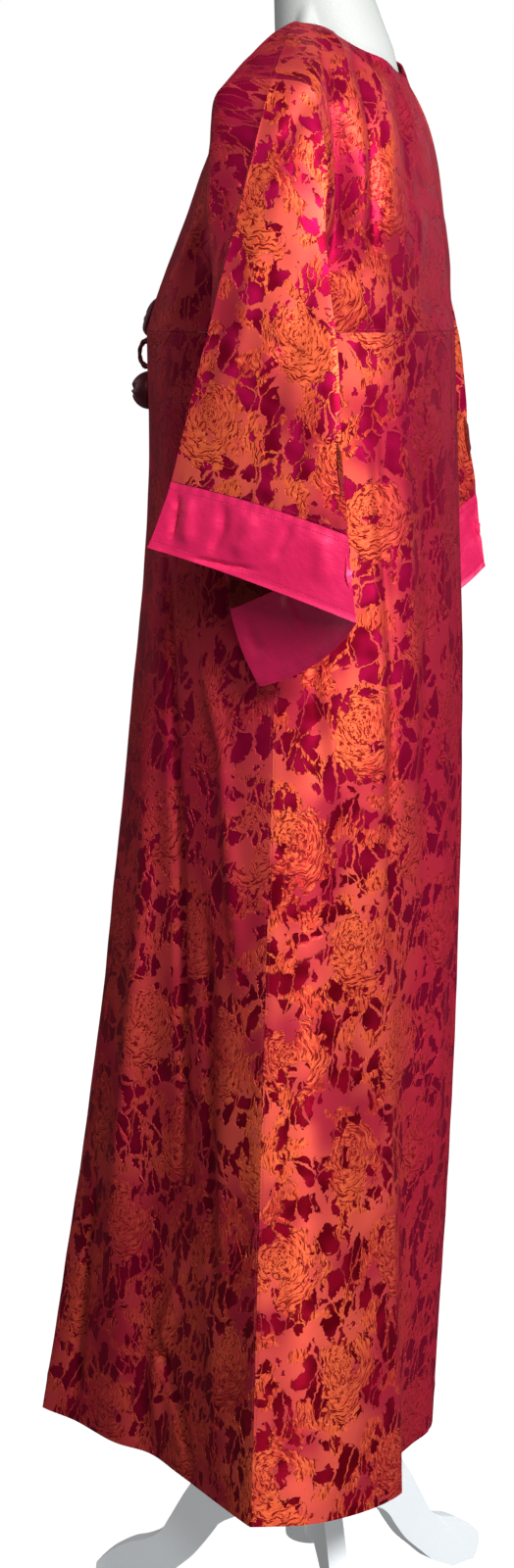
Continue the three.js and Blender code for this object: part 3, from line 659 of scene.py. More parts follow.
def satin(name, light, dark):
    n = Nodes(name)
    uv = n.uv()
    threads = n.noise(n.mapped(uv, 40.0, 900.0), 1.0, 2.0, 0.6)
    colour = n.mix(n.noise(uv, 9.0, 2.0, 0.5), light, dark)
    crumple = n.plus(n.times(threads, 0.2), n.times(n.noise(uv, 55.0, 3.0, 0.55), 1.6))
    crumple = n.minus(crumple, n.times(n.stitches(BAND_STITCH), 0.9))
    n.feed(n.shader, {
        "Base Color": n.mix(n.step(threads, 0.2, 0.9, 0.0, 0.25), colour, dark),
        "Roughness": n.step(threads, 0.2, 0.8, 0.40, 0.52),
        "Metallic": 0.3,
        "Sheen Weight": 0.15,
        "Sheen Tint": srgb(255, 90, 150),
        "Anisotropic": 0.4,
        "Normal": n.bump(crumple, 0.0007),
    })
    return n.material


def painted(name, light, dark, roughness, pit, glow):
    """White paint that gives off a little light of its own, for the photograph's pure white."""
    n = Nodes(name)
    where = n.node("ShaderNodeTexCoord").outputs["Object"]
    fine = n.noise(where, 420.0, 3.0, 0.6)
    n.feed(n.shader, {
        "Base Color": n.mix(n.noise(where, 6.0, 3.0, 0.55), light, dark),
        "Roughness": n.step(fine, 0.3, 0.7, roughness - 0.06, roughness + 0.08),
        "Normal": n.bump(fine, pit),
        # The emission is a painted glow: the form and the stand give off light though they are no lamps,
        # lightening their shaded sides
        "Emission Color": WHITE,
        "Emission Strength": glow,
    })
    return n.material


BROCADE = brocade("brocade_face")
BROCADE_BACK = brocade("brocade_reverse", reverse=True)
SATIN = satin("satin_band", srgb(242, 38, 106), srgb(218, 20, 82))
# The bow's satin is painted in shade: its dark red-black colours stand in for the shade that the bow sits in
BOW_SATIN_PAINTED_SHADE = satin("bow_satin_painted_shade", srgb(108, 14, 32), srgb(62, 6, 18))
FORM_PAINT_AND_GLOW = painted("form_paint_and_glow", srgb(180, 183, 180), srgb(171, 175, 173), 0.6, 0.0003, 0.06)
STAND_PAINT_AND_GLOW = painted("stand_paint_and_glow", srgb(238, 244, 247), srgb(226, 234, 239), 0.5, 0.0004, 0.15)


# The skirt


def skirt_line_points(z):
    table = np.array(SKIRT_LINES, float)
    bearing, crease = table[:, 0], table[:, 8]
    left = through_heights(table[:, 1:6].T, z)
    right_rows = table[:, [6, 7, 3, 4, 5]]
    right = through_heights(right_rows.T, z)
    points = on_bearing(bearing[None], left, z[:, None])
    other = on_bearing(bearing[None], right, z[:, None])[:, 1:-1][:, ::-1] * np.array([-1, 1, 1])
    creases = np.concatenate([crease, crease[1:-1][::-1]])
    return np.concatenate([points, other], axis=1), creases


def skirt_rows(z, steps):
    points, creases = skirt_line_points(np.asarray(z, float))
    return through_points(points, creases, steps, closed=True)


# Places on the skirt are given by bearing (right side below 0) and height; one degree counts as this many mm
DEGREE = 3.3
# Soft creases on the skirt: points as (bearing, height), width, depth
SKIRT_CREASES = [
    ([(46, 1200), (48, 1130), (51, 1037), (56, 890), (58, 740), (61, 620), (60, 480)], 7, -12.0),
    ([(60, 1130), (68, 1060), (76, 987), (80, 890), (84, 798), (85, 720)], 9, 5.0),
    ([(38, 1000), (41, 832), (35, 624), (33, 539), (28, 373)], 13, 4.5),
    ([(46, 390), (53, 346), (62, 303), (69, 261), (72, 226)], 6, -9.0),
    ([(66, 470), (58, 400), (50, 320), (52, 260), (54, 228)], 9, 5.0),
    ([(22, 520), (20, 430), (19, 300), (19, 228)], 5, -8.0),
    ([(68, 860), (72, 740), (75, 605), (78, 500), (81, 380)], 9, -6.0),
    ([(84, 760), (81, 560), (80, 380), (82, 236)], 14, 3.0),
    ([(108, 1340), (106, 1180), (110, 1040), (116, 900)], 9, -5.5),
    ([(102, 820), (106, 640), (104, 470), (108, 300)], 18, 2.5),
    ([(118, 760), (121, 600), (119, 430), (121, 250)], 15, -3.5),
    ([(124, 1384), (129, 1240), (133, 1060), (132, 880), (134, 700)], 10, -7.0),
    ([(136, 1374), (141, 1200), (143, 1000), (141, 840)], 12, 4.5),
    ([(152, 1350), (154, 1150), (151, 960), (153, 760)], 12, -3.4),
    ([(165, 1300), (166, 1080), (164, 820), (166, 560), (165, 300)], 14, 2.2),
    ([(-40, 1160), (-47, 1060), (-53, 950), (-58, 830), (-62, 700)], 9, -5.5),
    ([(-50, 1140), (-58, 990), (-65, 820), (-68, 600)], 14, 3.6),
    ([(-34, 1120), (-37, 940), (-35, 700)], 16, -2.6),
    ([(-82, 430), (-74, 350), (-60, 280), (-46, 228)], 12, -5.0),
    ([(-25, 600), (-23, 430), (-22, 234)], 9, -3.6),
    ([(-86, 800), (-82, 560), (-84, 300)], 15, 2.8),
    ([(-104, 1320), (-108, 1150), (-114, 980)], 12, -3.6),
    ([(-120, 820), (-123, 600), (-120, 360)], 16, -3.2),
    ([(-129, 1380), (-133, 1180), (-131, 960), (-134, 760)], 12, -4.4),
    ([(-141, 1360), (-144, 1120), (-142, 900)], 13, 3.0),
    ([(-156, 1300), (-158, 1020), (-155, 700)], 15, -2.2),
]


# Near the empire seam the cloth lies calm; it sinks into its seams, and the turned hem shows as a line
CALM = 60
SEAM_REACH = 4.0
HEM_LINE = {"up": 38, "height": 0.5, "reach": 5}
# How far the orange weft shows round the dress, as painted light: full on the lit side, less in painted shade
# at the front and least under a painted grazing sheen at the centre back; bearings, then shares
WEFT_LIGHT_BEARINGS = [0, 40, 75, 95, 120, 130, 140, 152, 180]
WEFT_LIGHT_SHARES = [0.6, 0.5, 0.62, 1, 1, 0.7, 0.35, 0.12, 0.08]


def make_skirt():
    z = np.linspace(HEM, EMPIRE_SEAM, SKIRT_ROWS + 1)
    rows = skirt_rows(z, SKIRT_SPAN_STEPS)
    width = rows.shape[1]
    normals = grid_normals(rows, True)
    half = len(SKIRT_LINES) - 1
    at = np.arange(half * SKIRT_SPAN_STEPS + 1) / SKIRT_SPAN_STEPS
    spread = np.interp(at, np.arange(half + 1), [row[0] for row in SKIRT_LINES])
    bearing = np.concatenate([spread, -spread[1:-1][::-1]])
    where = np.stack(np.broadcast_arrays(bearing[None] * DEGREE, z[:, None]), axis=-1)
    calm = smooth((EMPIRE_SEAM - z) / CALM)[:, None]
    lift = troughs(where, [([(b * DEGREE, h) for b, h in pts], w, d) for pts, w, d in SKIRT_CREASES])
    lift = lift + 1.1 * unevenness(where, 260, 11) + 0.45 * unevenness(where, 70, 12)
    from_line = (where[..., 1] - HEM - HEM_LINE["up"]) / HEM_LINE["reach"]
    lift = lift + HEM_LINE["height"] * np.exp(-(from_line ** 2))
    side = SIDE_LINE * SKIRT_SPAN_STEPS
    back = width // 2
    mark = lengths_along(rows)
    for seam in (side, back, width - side):
        off = (mark - mark[:, seam:seam + 1]) / SEAM_REACH
        lift = lift - np.exp(-(off ** 2)) / np.maximum(calm, 0.2)
    rows = rows + normals * (lift * calm)[..., None]
    normals = grid_normals(rows, True)
    normals[-1] = turned_flat(normals[-1], 2)
    inside = rows - normals * CLOTH
    magenta = smooth((z - 700) / 560)[:, None]
    for name, start, end, grain in (
        ("skirt_front", -side, side, 0),
        ("skirt_back_left", side, back, side),
        ("skirt_back_right", back, width - side, width - side),
    ):
        take = np.arange(start, end + 1) % width
        outer, inner = [pulled_in(grid[:, take], EDGE_GAP, EDGE_GAP, 0, EDGE_GAP) for grid in (rows, inside)]
        along = lengths_along(outer)
        at = grain - start
        across = along - along[:, at:at + 1]
        uv = np.stack([across, np.broadcast_to(z[:, None], across.shape)], axis=-1)
        weft_light = np.interp(np.abs(bearing[take]), WEFT_LIGHT_BEARINGS, WEFT_LIGHT_SHARES)[None]
        # Painted shade: the front's weft is dimmed towards the top, where the front panel lies in shade
        if name == "skirt_front":
            weft_light = weft_light * (1 - 0.6 * smooth((z - 640) / 330))[:, None]
        piece = cloth_piece(name + "_cloth", outer, inner, uv, [BROCADE, BROCADE_BACK], weft_light=weft_light,
                            sewn=("left", "right", "top"), magenta=magenta)
        declare(name, outer, uv)


def declare(node, outer, uv, closed=False):
    """Hides the CAD part that a cloth piece stands for, and works out the size that it was cut to without
    keeping it.
    """
    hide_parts(node)
    spans = uv.reshape(-1, 2)
    area = area_of(outer, closed)
    w, l = ((spans.max(axis=0) - spans.min(axis=0)) * MM).tolist()
    w, l = round(w + 0.005, 2), round(l + 0.005, 2)
    if area > w * l:
        l = round(area / w + 0.005, 2)


# The bodice


def seam_points(bearings):
    """Points of the skirt's top ring on the given bearings, on the left half."""
    ring = skirt_rows([EMPIRE_SEAM], 24)[0]
    half = ring[: (len(SKIRT_LINES) - 1) * 24 + 1]
    at = np.degrees(np.arctan2(half[:, 0], -half[:, 1]))
    at[-1] = 180
    return np.stack([np.interp(bearings, at, half[:, k]) for k in range(3)], axis=-1)


def guide_column(guide, steps):
    points = np.concatenate([seam_points([guide[0]]), np.array(guide[1:], float)])[None]
    crease = [0, 1 if guide[0] == SIDE_BEARING else 0, 0, 0, 0, 0]
    return through_points(points, crease, steps)[0]


# Places on a bodice panel, for its creases: this many millimetres across and up
PANEL = (200, 260)
# The share of a panel's width that lies calm at each side
CALM_SHARE = 0.0625


def panel_places(across, up):
    return np.stack(np.meshgrid(across * PANEL[0], up * PANEL[1]), axis=-1)


def bodice_rows(guides, folds, extra=(), seed=0):
    columns = np.stack([guide_column(guide, BODICE_LEVEL_STEPS) for guide in guides], axis=1)
    height = columns.shape[0]
    up = np.arange(height) / (height - 1)
    crease = np.zeros(columns.shape[:2])
    crease[:, NECK_POINT] = smooth((up - 0.7) / 0.3)
    rows = through_points(columns, crease, BODICE_SPAN_STEPS)
    width = rows.shape[1] - 1
    at = np.arange(width + 1) / BODICE_SPAN_STEPS
    spread = np.interp(at, np.arange(len(guides)), [g[0] for g in guides])
    down = (seam_points(spread) - rows[0])[None] * (1 - smooth(up / 0.1))[:, None, None]
    rows = rows + down
    across = np.arange(width + 1) / width
    normals = grid_normals(rows, False)
    lift = np.zeros((height, width + 1))
    for place, wide, start, high, at_top in folds:
        begun = np.clip((up - start) / (1 - start), 0, 1)
        end = smooth((up - 0.75) / 0.25)
        tall = smooth(begun) * (high + (at_top - high) * end)
        lift += tall[:, None] * np.exp(-(((across - place) / wide) ** 2))[None]
    where = panel_places(across, up)
    lift += troughs(where, extra)
    lift += 0.8 * unevenness(where, 90, seed) + 0.35 * unevenness(where, 34, seed + 1)
    edge = smooth(across / CALM_SHARE) * smooth((1 - across) / CALM_SHARE)
    shoulder = np.where(across <= 0.5, 1.0, 0.0) if folds else np.where(across >= 0.5, 1.0, 0.0)
    at_shoulder = 1 - smooth((up - 0.9) / 0.1)[:, None] * shoulder[None]
    # The neck's edge is soft and stands off a little in waves
    ripple = 1 + np.sin(across * NECK_WAVES + seed)
    lift += NECK_WAVE_HEIGHT * ripple[None] * smooth((up - 0.86) / 0.14)[:, None] * (1 - shoulder)[None]
    rows = rows + normals * (lift * edge[None] * at_shoulder * smooth(up / 0.08)[:, None])[..., None]
    return rows


def bodice_inside(rows, back):
    normals = grid_normals(rows, False)
    width = rows.shape[1] - 1
    neck = NECK_POINT * BODICE_SPAN_STEPS
    normals[0] = turned_flat(normals[0], 2)
    shoulder = slice(0, neck + 1) if back else slice(neck, width + 1)
    blend = np.clip((np.arange(len(rows)) - (len(rows) - 12)) / 11, 0, 1)[:, None, None]
    normals[:, shoulder] = normals[:, shoulder] * (1 - blend) + np.array([0, 0, 1.0]) * blend
    edge = 0 if back else width
    normals[: BODICE_LEVEL_STEPS + 1, edge] = (1, 0, 0)
    middle = width if back else 0
    normals[:, middle] = turned_flat(normals[:, middle], 0)
    normals = unit(normals)
    return rows - normals * CLOTH


MIRROR = np.array([-1.0, 1.0, 1.0])


def bodice_uv(rows, middle):
    across = lengths_along(rows)
    across = across - across[:, middle:middle + 1]
    return np.stack([across, lengths_up(rows) + EMPIRE_SEAM], axis=-1)


# Creases on the bodice: points on the panel, width, depth
FRONT_CREASES = [
    ([(150, 40), (165, 90), (180, 130)], 7, -2.4),
    ([(120, 20), (140, 70), (160, 110)], 9, 2.0),
    ([(60, 250), (90, 190), (110, 120)], 10, -1.8),
    ([(20, 220), (30, 150), (24, 80)], 14, 1.4),
]
BACK_CREASES = [
    ([(74, 226), (52, 204), (32, 176), (23, 140), (24, 96), (30, 50)], 10, -15.0),
    ([(104, 240), (88, 204), (66, 180), (50, 150), (43, 116), (46, 70)], 9, 6.5),
    ([(128, 240), (112, 196), (88, 166), (70, 134), (60, 100), (58, 54)], 6, -6.5),
    ([(150, 250), (134, 204), (108, 160), (86, 120), (74, 60)], 9, 4.0),
    ([(166, 248), (156, 190), (132, 140), (112, 80)], 9, -3.6),
    ([(150, 120), (140, 80), (120, 40)], 9, 2.2),
    ([(178, 230), (172, 170), (166, 110)], 12, 1.8),
]


def make_bodice():
    sewn = ("left", "right", "top", "bottom")

    def panel(name, outer, inner, middle, weft_light):
        outer, inner = [pulled_in(grid, EDGE_GAP, EDGE_GAP, EDGE_GAP, EDGE_GAP) for grid in (outer, inner)]
        uv = bodice_uv(outer, middle)
        piece = cloth_piece(name + "_cloth", outer, inner, uv, [BROCADE, BROCADE_BACK], weft_light=weft_light, sewn=sewn)
        declare(name, outer, uv)

    front = bodice_rows(FRONT_GUIDES, [], FRONT_CREASES, 21)
    halves = (front, bodice_inside(front, False))
    both = [np.concatenate([grid[:, :0:-1] * MIRROR, grid], axis=1) for grid in halves]
    # Painted shade: the weft on the front of the bodice is kept low, for the shade that falls there
    half = np.interp(np.arange(front.shape[1]), [0, front.shape[1] - 1], [0.2, 0.35])
    panel("bodice_front", *both, front.shape[1] - 1, np.concatenate([half[:0:-1], half])[None])

    back = bodice_rows(BACK_GUIDES, BODICE_FOLDS, BACK_CREASES, 25)
    height, width = back.shape[:2]
    across = np.arange(width) / (width - 1)
    up = np.arange(height) / (height - 1)
    # The weft shows less in the valley beside the sleeve and more along the fold next to it: painted shade in
    # the valley, a painted highlight on the fold, and less weft towards the centre back under a painted
    # grazing sheen
    shown = troughs(panel_places(across, up), [(BACK_CREASES[0][0], 13, -0.8), (BACK_CREASES[3][0], 9, 0.75)])
    even = np.interp(across, [0, 0.3, 0.5, 0.7, 1], [1, 0.8, 0.35, 0.08, 0.05])[None]
    weft_light = np.clip(even + shown, 0, 1)
    inside = bodice_inside(back, True)
    panel("bodice_back_left", back, inside, width - 1, weft_light)
    panel("bodice_back_right", back[:, ::-1] * MIRROR, inside[:, ::-1] * MIRROR, 0, weft_light[:, ::-1])


# The sleeves


def arc(start, end, push, steps):
    t = (np.arange(steps) / steps)[:, None]
    start, end, push = (np.array(p, float) for p in (start, end, push))
    return start * (1 - t) + end * t + push * 4 * t * (1 - t)


def sleeve_ring(section):
    crease, under, back, outer, inner, front = section
    return np.concatenate([
        arc(crease, back, outer, SLEEVE_ARC_STEPS),
        arc(back, under, inner, SLEEVE_ARC_STEPS),
        arc(under, crease, front, SLEEVE_ARC_STEPS),
    ])


def armhole_ring():
    ring = []
    for guides, index, start, end in (
        (BACK_GUIDES, 0, "crease", "back"),
        (BACK_GUIDES, 0, "back", "under"),
        (FRONT_GUIDES, 4, "under", "crease"),
    ):
        column = guide_column(guides[index], BODICE_LEVEL_STEPS)
        share = np.linspace(ARMHOLE_START[start], ARMHOLE_START[end], SLEEVE_ARC_STEPS, endpoint=False)
        at = share * (len(column) - 1)
        points = [np.interp(at, np.arange(len(column)), column[:, k]) for k in range(3)]
        ring.append(np.stack(points, axis=-1))
    return np.concatenate(ring) + np.array([SEAM + 0.15, 0, 0])


# Creases on the sleeve: points as (mm round from the crease line, mm up from the cuff seam), width, depth
SLEEVE_CREASES = [
    ([(16, 40), (30, 110), (34, 190), (26, 270)], 12, 2.6),
    ([(60, 16), (84, 90), (92, 170), (84, 250)], 15, -3.0),
    ([(126, 20), (138, 100), (128, 190), (120, 280)], 13, 3.0),
    ([(8, 300), (30, 340), (40, 400), (44, 450)], 9, -3.4),
    ([(70, 300), (78, 360), (64, 420)], 12, 2.6),
    ([(110, 260), (116, 330), (100, 400)], 10, -2.8),
    ([(36, 120), (66, 150), (110, 150)], 9, -1.8),
    ([(160, 10), (166, 90), (158, 170)], 10, -2.4),
    ([(260, 20), (270, 120), (250, 220)], 14, -3.0),
    ([(330, 40), (340, 140), (330, 240)], 14, 2.6),
    ([(440, 20), (446, 120), (430, 230)], 12, -2.6),
]
CUFF_CREASES = [
    ([(6, -4), (12, -22), (16, -44), (22, -64)], 3, -4.0),
    ([(22, -8), (28, -34), (38, -60)], 6, 3.4),
    ([(40, -67), (52, -66), (84, -64), (118, -60)], 2.2, -2.6),
    ([(58, -4), (66, -33), (60, -62)], 5, -3.8),
    ([(88, -6), (94, -34), (86, -58)], 9, 3.0),
    ([(126, -4), (129, -20), (124, -50)], 5, -2.6),
    ([(160, -4), (170, -30), (176, -56)], 8, 2.4),
    ([(200, -8), (206, -30), (200, -50)], 6, -2.4),
    ([(240, -10), (250, -50)], 8, 3.0),
    ([(300, -8), (296, -50)], 6, -3.0),
    ([(350, -8), (360, -56)], 8, 3.0),
    ([(430, -6), (424, -50)], 7, -3.0),
    ([(480, -8), (490, -50)], 7, 2.4),
]
# The line pressed along the top of the arm, and the cuff's turned edge
PRESSED = {"height": 2.2, "reach": 3.5}
ROLLED = {"height": 0.9, "reach": 3.0}
PUCKER = {"spacing": 12.5, "reach": 9, "depth": 0.55}


def make_sleeves():
    rings = np.stack([sleeve_ring(section) for section in SLEEVE_SECTIONS] + [armhole_ring()], axis=1)
    no_crease = np.zeros(rings.shape[1])
    cuff = through_points(rings, no_crease, CUFF_STEPS)[:, : CUFF_STEPS + 1]
    upper = through_points(rings, no_crease, SLEEVE_SECTION_STEPS)[:, SLEEVE_SECTION_STEPS:]
    rows = np.concatenate([cuff[:, :-1], upper], axis=1).transpose(1, 0, 2)
    normals = grid_normals(rows, True)
    closed = np.concatenate([rows, rows[:, :1]], axis=1)
    across, up = lengths_along(closed), lengths_up(closed)
    up = up - up[CUFF_STEPS: CUFF_STEPS + 1]
    where = np.stack([across, up], axis=-1)[:, :-1]
    lift = troughs(where, SLEEVE_CREASES) * smooth(np.abs(where[..., 1]) / 12)
    lift += troughs(where, CUFF_CREASES) * (where[..., 1] < 0) * smooth(np.abs(where[..., 1]) / 12)
    lift += 0.9 * unevenness(where, 120, 31) + 0.4 * unevenness(where, 40, 32)
    ring = across[:, -1:]
    from_crease = np.minimum(where[..., 0], ring - where[..., 0])
    lift += PRESSED["height"] * np.exp(-from_crease / PRESSED["reach"])
    hem = up[0][None, :-1]
    lift += ROLLED["height"] * np.exp(-(((where[..., 1] - hem) / ROLLED["reach"]) ** 2))
    beat = np.cos(2 * np.pi * (where[..., 0] + 2.5 * np.sin(where[..., 0] / 17)) / PUCKER["spacing"])
    lift += PUCKER["depth"] * (beat - 1) * np.exp(-((where[..., 1] / PUCKER["reach"]) ** 2))
    top_calm = smooth((len(rows) - 1 - np.arange(len(rows))) / 10)[:, None]
    rows = rows + normals * (lift * top_calm)[..., None]
    normals = grid_normals(rows, True)
    normals[-1] = turned_flat(normals[-1], 0)
    inside = rows - normals * CLOTH
    uv = np.stack([across, up], axis=-1)
    # The weft is painted light: full on the lit outer wall, less on the inner wall and least on the front
    # wall, in painted shade
    turn = np.arange(rows.shape[1]) / rows.shape[1]
    weft_light = np.interp(turn, [0, 0.02, 0.32, 0.36, 0.64, 0.68, 0.97, 1], [0.6, 1, 1, 0.8, 0.7, 0.3, 0.25, 0.6])
    for side in ("left", "right"):
        for piece_name, part, trim, face, reverse in (
            ("cuff", slice(0, CUFF_STEPS + 1), (0, CUFF_TRIM), SATIN, SATIN),
            ("sleeve", slice(CUFF_STEPS, None), (CUFF_TRIM, 0), BROCADE, BROCADE_BACK),
        ):
            outer, inner, marks = rows[part], inside[part], uv[part]
            if side == "right":
                outer, inner, marks = outer[:, ::-1] * MIRROR, inner[:, ::-1] * MIRROR, marks[:, ::-1]
            outer, inner = [pulled_in(g, 0, 0, *trim) for g in (outer, inner)]
            shown = weft_light[None, ::-1] if side == "right" else weft_light[None]
            piece = cloth_piece(f"{piece_name}_{side}_cloth", outer, inner, marks, [face, reverse],
                                closed=True, weft_light=shown, sewn=("top", "bottom"))
            declare(f"{piece_name}_{side}", outer, marks, closed=True)


# The bow


# The bow's lobes: points round each, layers, the share at which the side turns to the dome, and pleats
LOBE_AROUND = 44
LOBE_LAYERS = 14
LOBE_SIDE = 0.12
LOBE_PLEATS = 5
# The bow's ring: points round it and round its section, how flat it stands and how it is twisted
RING_AROUND = 72
RING_SECTION = 20
RING_FLAT = 0.62
RING_FAT = 1.25


def front_surface(rows, x, z):
    """How far forward the dress reaches near the centre front; rows are the bodice's."""
    x, z = np.broadcast_arrays(np.abs(np.asarray(x, float)), np.asarray(z, float))
    out = np.zeros(x.shape)
    flat_x, flat_z, flat_out = x.ravel(), z.ravel(), out.ravel()
    low = skirt_rows(np.minimum(flat_z, EMPIRE_SEAM), 12)[:, :48]
    for k in range(len(flat_x)):
        if flat_z[k] <= EMPIRE_SEAM:
            flat_out[k] = np.interp(flat_x[k], low[k, :, 0], low[k, :, 1])
        else:
            flat_out[k] = bodice_front_at(rows, flat_x[k], flat_z[k])
    return flat_out.reshape(x.shape)


def bodice_front_at(rows, x, z):
    j = int(np.clip(np.searchsorted(rows[:, 0, 2], z), 1, len(rows) - 1))
    a, b = rows[j - 1], rows[j]
    share = (z - a[0, 2]) / (b[0, 2] - a[0, 2])
    ya, yb = np.interp(x, a[:, 0], a[:, 1]), np.interp(x, b[:, 0], b[:, 1])
    return ya + (yb - ya) * share


def lobe_share(rise):
    """The width of a lobe's layer, as a share of the widest."""
    if rise < LOBE_SIDE:
        return 0.86 + 0.14 * smooth(rise / LOBE_SIDE)
    return math.sqrt(1 - (0.94 * (rise - LOBE_SIDE) / (1 - LOBE_SIDE)) ** 2)


def make_bow():
    chest = bodice_rows(FRONT_GUIDES, [])[:, : 2 * BODICE_SPAN_STEPS]
    for name, side, inner_x, outer_x, low, high, proud, seat in BOW_LOBES:
        centre = np.array([(inner_x + outer_x) / 2, (low + high) / 2])
        reach = np.array([(outer_x - inner_x) / 2, (high - low) / 2])
        turn = side * 2 * np.pi * np.arange(LOBE_AROUND) / LOBE_AROUND
        layers = []
        for k in range(LOBE_LAYERS + 1):
            rise = k / LOBE_LAYERS
            share = lobe_share(rise)
            x = side * (centre[0] + reach[0] * share * np.cos(turn))
            z = centre[1] + reach[1] * share * np.sin(turn)
            pleat = 1 + 0.10 * np.cos(turn * LOBE_PLEATS + 0.7) * smooth(rise * 2)
            layers.append(np.stack([x, front_surface(chest, x, z) - seat - proud * rise * pleat, z], axis=-1))
        flat = np.zeros((LOBE_AROUND, 3))
        layers.append(layers[-1].mean(axis=0, keepdims=True) + flat + np.array([0, -0.4, 0]))
        layers.insert(0, layers[0].mean(axis=0, keepdims=True) + flat)
        points = np.stack(layers).reshape(-1, 3)
        faces = ring_faces(len(layers), LOBE_AROUND)
        uv = points[faces].reshape(-1, 3)[:, [0, 2]] * MM
        piece = new_piece(name + "_cloth", points, faces, [BOW_SATIN_PAINTED_SHADE], None, uv)
        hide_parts(name)
    a = 2 * np.pi * np.arange(RING_AROUND) / RING_AROUND
    b = 2 * np.pi * np.arange(RING_SECTION) / RING_SECTION
    ga, gb = np.meshgrid(a, b, indexing="ij")
    fat = RING_FAT * BOW_RING["tube"] * (1 + 0.12 * np.sin(ga * 9 + gb * 2))
    out = BOW_RING["radius"] + fat * np.cos(gb) * 0.95
    x = fat * np.sin(gb)
    y = RING_FLAT * out * np.cos(ga)
    z = out * np.sin(ga)
    seat = float(front_surface(chest, 0, BOW_RING["height"])) - BOW_RING["stand_off"]
    middle = seat - RING_FLAT * (BOW_RING["radius"] + BOW_RING["tube"])
    grid = np.stack([x, y + middle, z + BOW_RING["height"]], axis=-1)
    i, j = np.meshgrid(np.arange(RING_AROUND), np.arange(RING_SECTION), indexing="ij")
    i, j = i.ravel(), j.ravel()
    ni, nj = (i + 1) % RING_AROUND, (j + 1) % RING_SECTION
    corners = [(i, j), (i, nj), (ni, nj), (ni, j)]
    faces = np.stack([row * RING_SECTION + column for row, column in corners], axis=1)
    points = grid.reshape(-1, 3)
    uv = np.stack([np.stack([ga.ravel()[f] * 13, gb.ravel()[f] * 3], axis=-1) for f in faces.T], axis=1)
    piece = new_piece("bow_ring_cloth", points, faces, [BOW_SATIN_PAINTED_SHADE], None, uv.reshape(-1, 2) * MM)
    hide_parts("bow_ring")


# The dress form


def oval_reach(half, front, back, x, y):
    depth = np.where(y < 0, FORM_MIDDLE - front, back - FORM_MIDDLE)
    return 1 / np.hypot(x / half, y / depth)


def make_form():
    table = np.array(FORM_LEVELS, float)
    stops = []
    for a, b in zip(table[:-1], table[1:]):
        steps = max(2, int((b[0] - a[0]) / 6))
        stops += [a + (b - a) * k / steps for k in range(steps)]
    stops.append(table[-1])
    turn = 2 * np.pi * np.arange(FORM_SIDES) / FORM_SIDES
    x, y = np.cos(turn), 0.75 * np.sin(turn)
    long = np.hypot(x, y)
    x, y = x / long, y / long
    rings = []
    for z, half, front, back, neck_half, neck_front, neck_back in stops:
        body = oval_reach(half, front, back, x, y)
        neck = oval_reach(neck_half, neck_front, neck_back, x, y)
        tuck = 1.0 if z < 1660 else 0.3
        reach = np.maximum(body, neck) - tuck
        rings.append(np.stack([x * reach, FORM_MIDDLE + y * reach, np.full(FORM_SIDES, z)], axis=-1))
    top = rings[-1]
    middle = top.mean(axis=0)
    for share, rise in ((0.97, 0.9), (0.9, 1.6), (0.5, 2.0), (0.02, 2.0)):
        rings.append(middle + (top - middle) * share + np.array([0, 0, rise - 2.0]))
    low = rings[0]
    middle = low.mean(axis=0)
    for share in (0.97, 0.5, 0.02):
        rings.insert(0, middle + (low - middle) * share)
    grid = np.stack(rings)
    faces = ring_faces(len(grid), FORM_SIDES)
    piece = new_piece("form_shell", grid.reshape(-1, 3), faces, [FORM_PAINT_AND_GLOW])
    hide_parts("form_body")


def make_stand():
    """The stand's boards and hub again with their edges rounded; the pole keeps its solid."""
    for node in ("stand_hub", "stand_leg_1", "stand_leg_2", "stand_leg_3"):
        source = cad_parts[node]
        mesh = source.data.copy()
        piece = bpy.data.objects.new(node + "_board", mesh)
        bpy.context.collection.objects.link(piece)
        mesh.materials.clear()
        mesh.materials.append(STAND_PAINT_AND_GLOW)
        weld = piece.modifiers.new("weld", "WELD")
        weld.merge_threshold = 0.00005
        bevel = piece.modifiers.new("round", "BEVEL")
        bevel.width = 0.0022
        bevel.segments = 3
        bevel.limit_method = "ANGLE"
        bevel.angle_limit = math.radians(50)
        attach(piece, "root")
        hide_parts(node)
    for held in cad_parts["stand_pole"].material_slots:
        held.material = STAND_PAINT_AND_GLOW


make_skirt()
make_bodice()
make_sleeves()
make_bow()
make_form()
make_stand()


# Floor, lights and camera


FLOOR_HALF = 30
FLOOR_GLOW = 0.97
WORLD_LIGHT = 0.085
# The lamps: name, place, what they point at, size and power
LAMPS = [
    ("key", (2.1, 2.05, 2.8), (0, 0, 0.9), 1.1, 150),
    ("side", (2.9, 0.6, 2.9), (0, 0, 0.9), 0.7, 26),
    ("front", (-0.8, -3.4, 1.9), (0, 0, 0.9), 2.2, 11),
    ("bounce", (1.9, 1.3, 0.25), (0, 0, 0.15), 0.6, 9),
    ("back", (-2.6, 1.6, 2.2), (0, 0, 1.0), 2.0, 12),
]


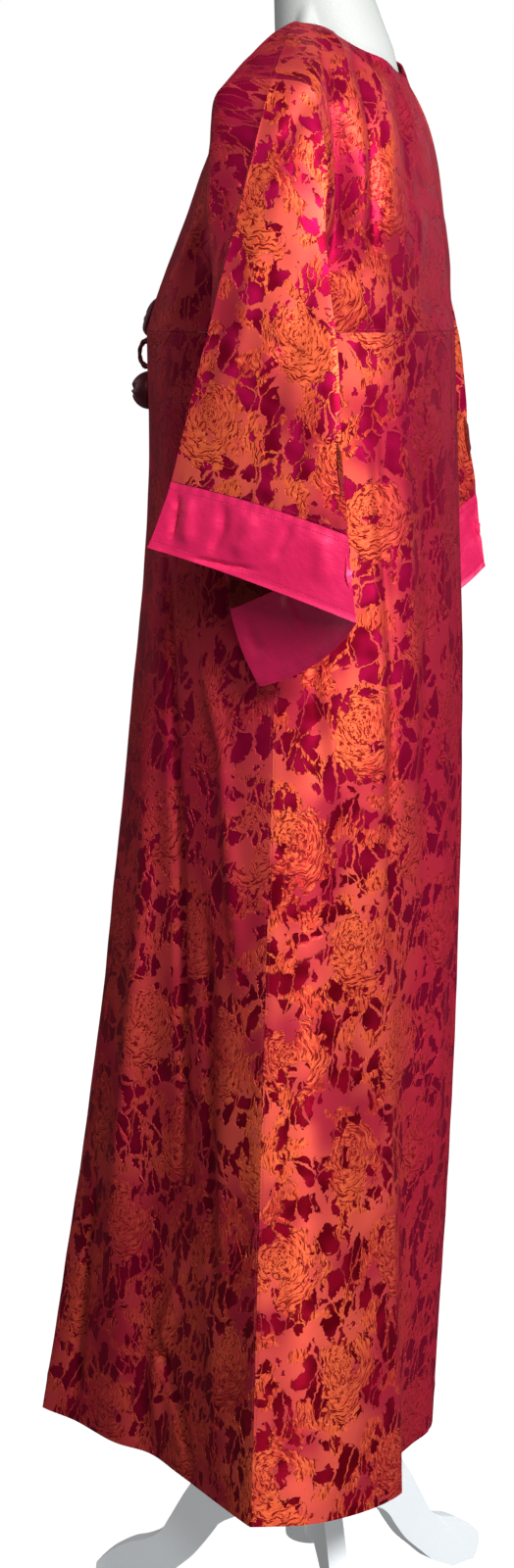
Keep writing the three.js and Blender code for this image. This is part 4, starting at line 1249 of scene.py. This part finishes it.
def make_floor():
    mesh = bpy.data.meshes.new("floor")
    corners = [(x * FLOOR_HALF, y * FLOOR_HALF, 0) for x, y in ((-1, -1), (1, -1), (1, 1), (-1, 1))]
    mesh.from_pydata(corners, [], [(0, 1, 2, 3)])
    n = Nodes("floor_finish")
    where = n.node("ShaderNodeTexCoord").outputs["Object"]
    n.feed(n.shader, {
        "Base Color": n.mix(n.noise(where, 3.0), srgb(176, 176, 176), srgb(182, 182, 182)),
        "Roughness": 0.9,
        "Emission Color": WHITE,
        "Emission Strength": FLOOR_GLOW,
    })
    mesh.materials.append(n.material)
    floor = bpy.data.objects.new("floor", mesh)
    bpy.context.collection.objects.link(floor)
    floor.location = (0, 0, CAD_BOX[0][2] - 0.0005)
    floor.visible_diffuse = False
    floor.visible_glossy = False


def make_light(name, place, target, size, power):
    data = bpy.data.lights.new(name, "AREA")
    data.shape = "DISK"
    data.size = size
    data.energy = power
    lamp = bpy.data.objects.new(name, data)
    bpy.context.collection.objects.link(lamp)
    lamp.location = place
    way = Vector(target) - Vector(place)
    lamp.rotation_euler = way.to_track_quat("-Z", "Y").to_euler()


def make_world():
    """A white studio that gives the object a weaker light than it shows behind it."""
    world = bpy.data.worlds.new("studio")
    world.use_nodes = True
    tree = world.node_tree
    shown = tree.nodes["Background"]
    shown.inputs["Color"].default_value = WHITE
    given = tree.nodes.new("ShaderNodeBackground")
    given.inputs["Color"].default_value = WHITE
    given.inputs["Strength"].default_value = WORLD_LIGHT
    ray = tree.nodes.new("ShaderNodeLightPath")
    both = tree.nodes.new("ShaderNodeMixShader")
    tree.links.new(ray.outputs["Is Camera Ray"], both.inputs["Fac"])
    tree.links.new(given.outputs[0], both.inputs[1])
    tree.links.new(shown.outputs[0], both.inputs[2])
    tree.links.new(both.outputs[0], tree.nodes["World Output"].inputs["Surface"])
    bpy.context.scene.world = world


def make_camera():
    c, s = math.cos(CAMERA_BEARING), math.sin(CAMERA_BEARING)
    data = bpy.data.cameras.new("camera")
    data.sensor_width = 36
    data.lens = CAMERA_LENS
    camera = bpy.data.objects.new("camera", data)
    bpy.context.collection.objects.link(camera)
    place = Vector((c, s, 0)) * CAMERA_DISTANCE + Vector((-s, c, 0)) * CAMERA_SIDE
    camera.location = place + Vector((*AXIS[:2], CAMERA_HEIGHT))
    level = math.cos(CAMERA_TILT)
    way = Vector((-c * level, -s * level, -math.sin(CAMERA_TILT)))
    camera.rotation_euler = way.to_track_quat("-Z", "Y").to_euler()
    bpy.context.scene.camera = camera


make_floor()
for lamp in LAMPS:
    make_light(*lamp)
make_world()
bpy.context.scene.view_settings.view_transform = "Standard"
make_camera()
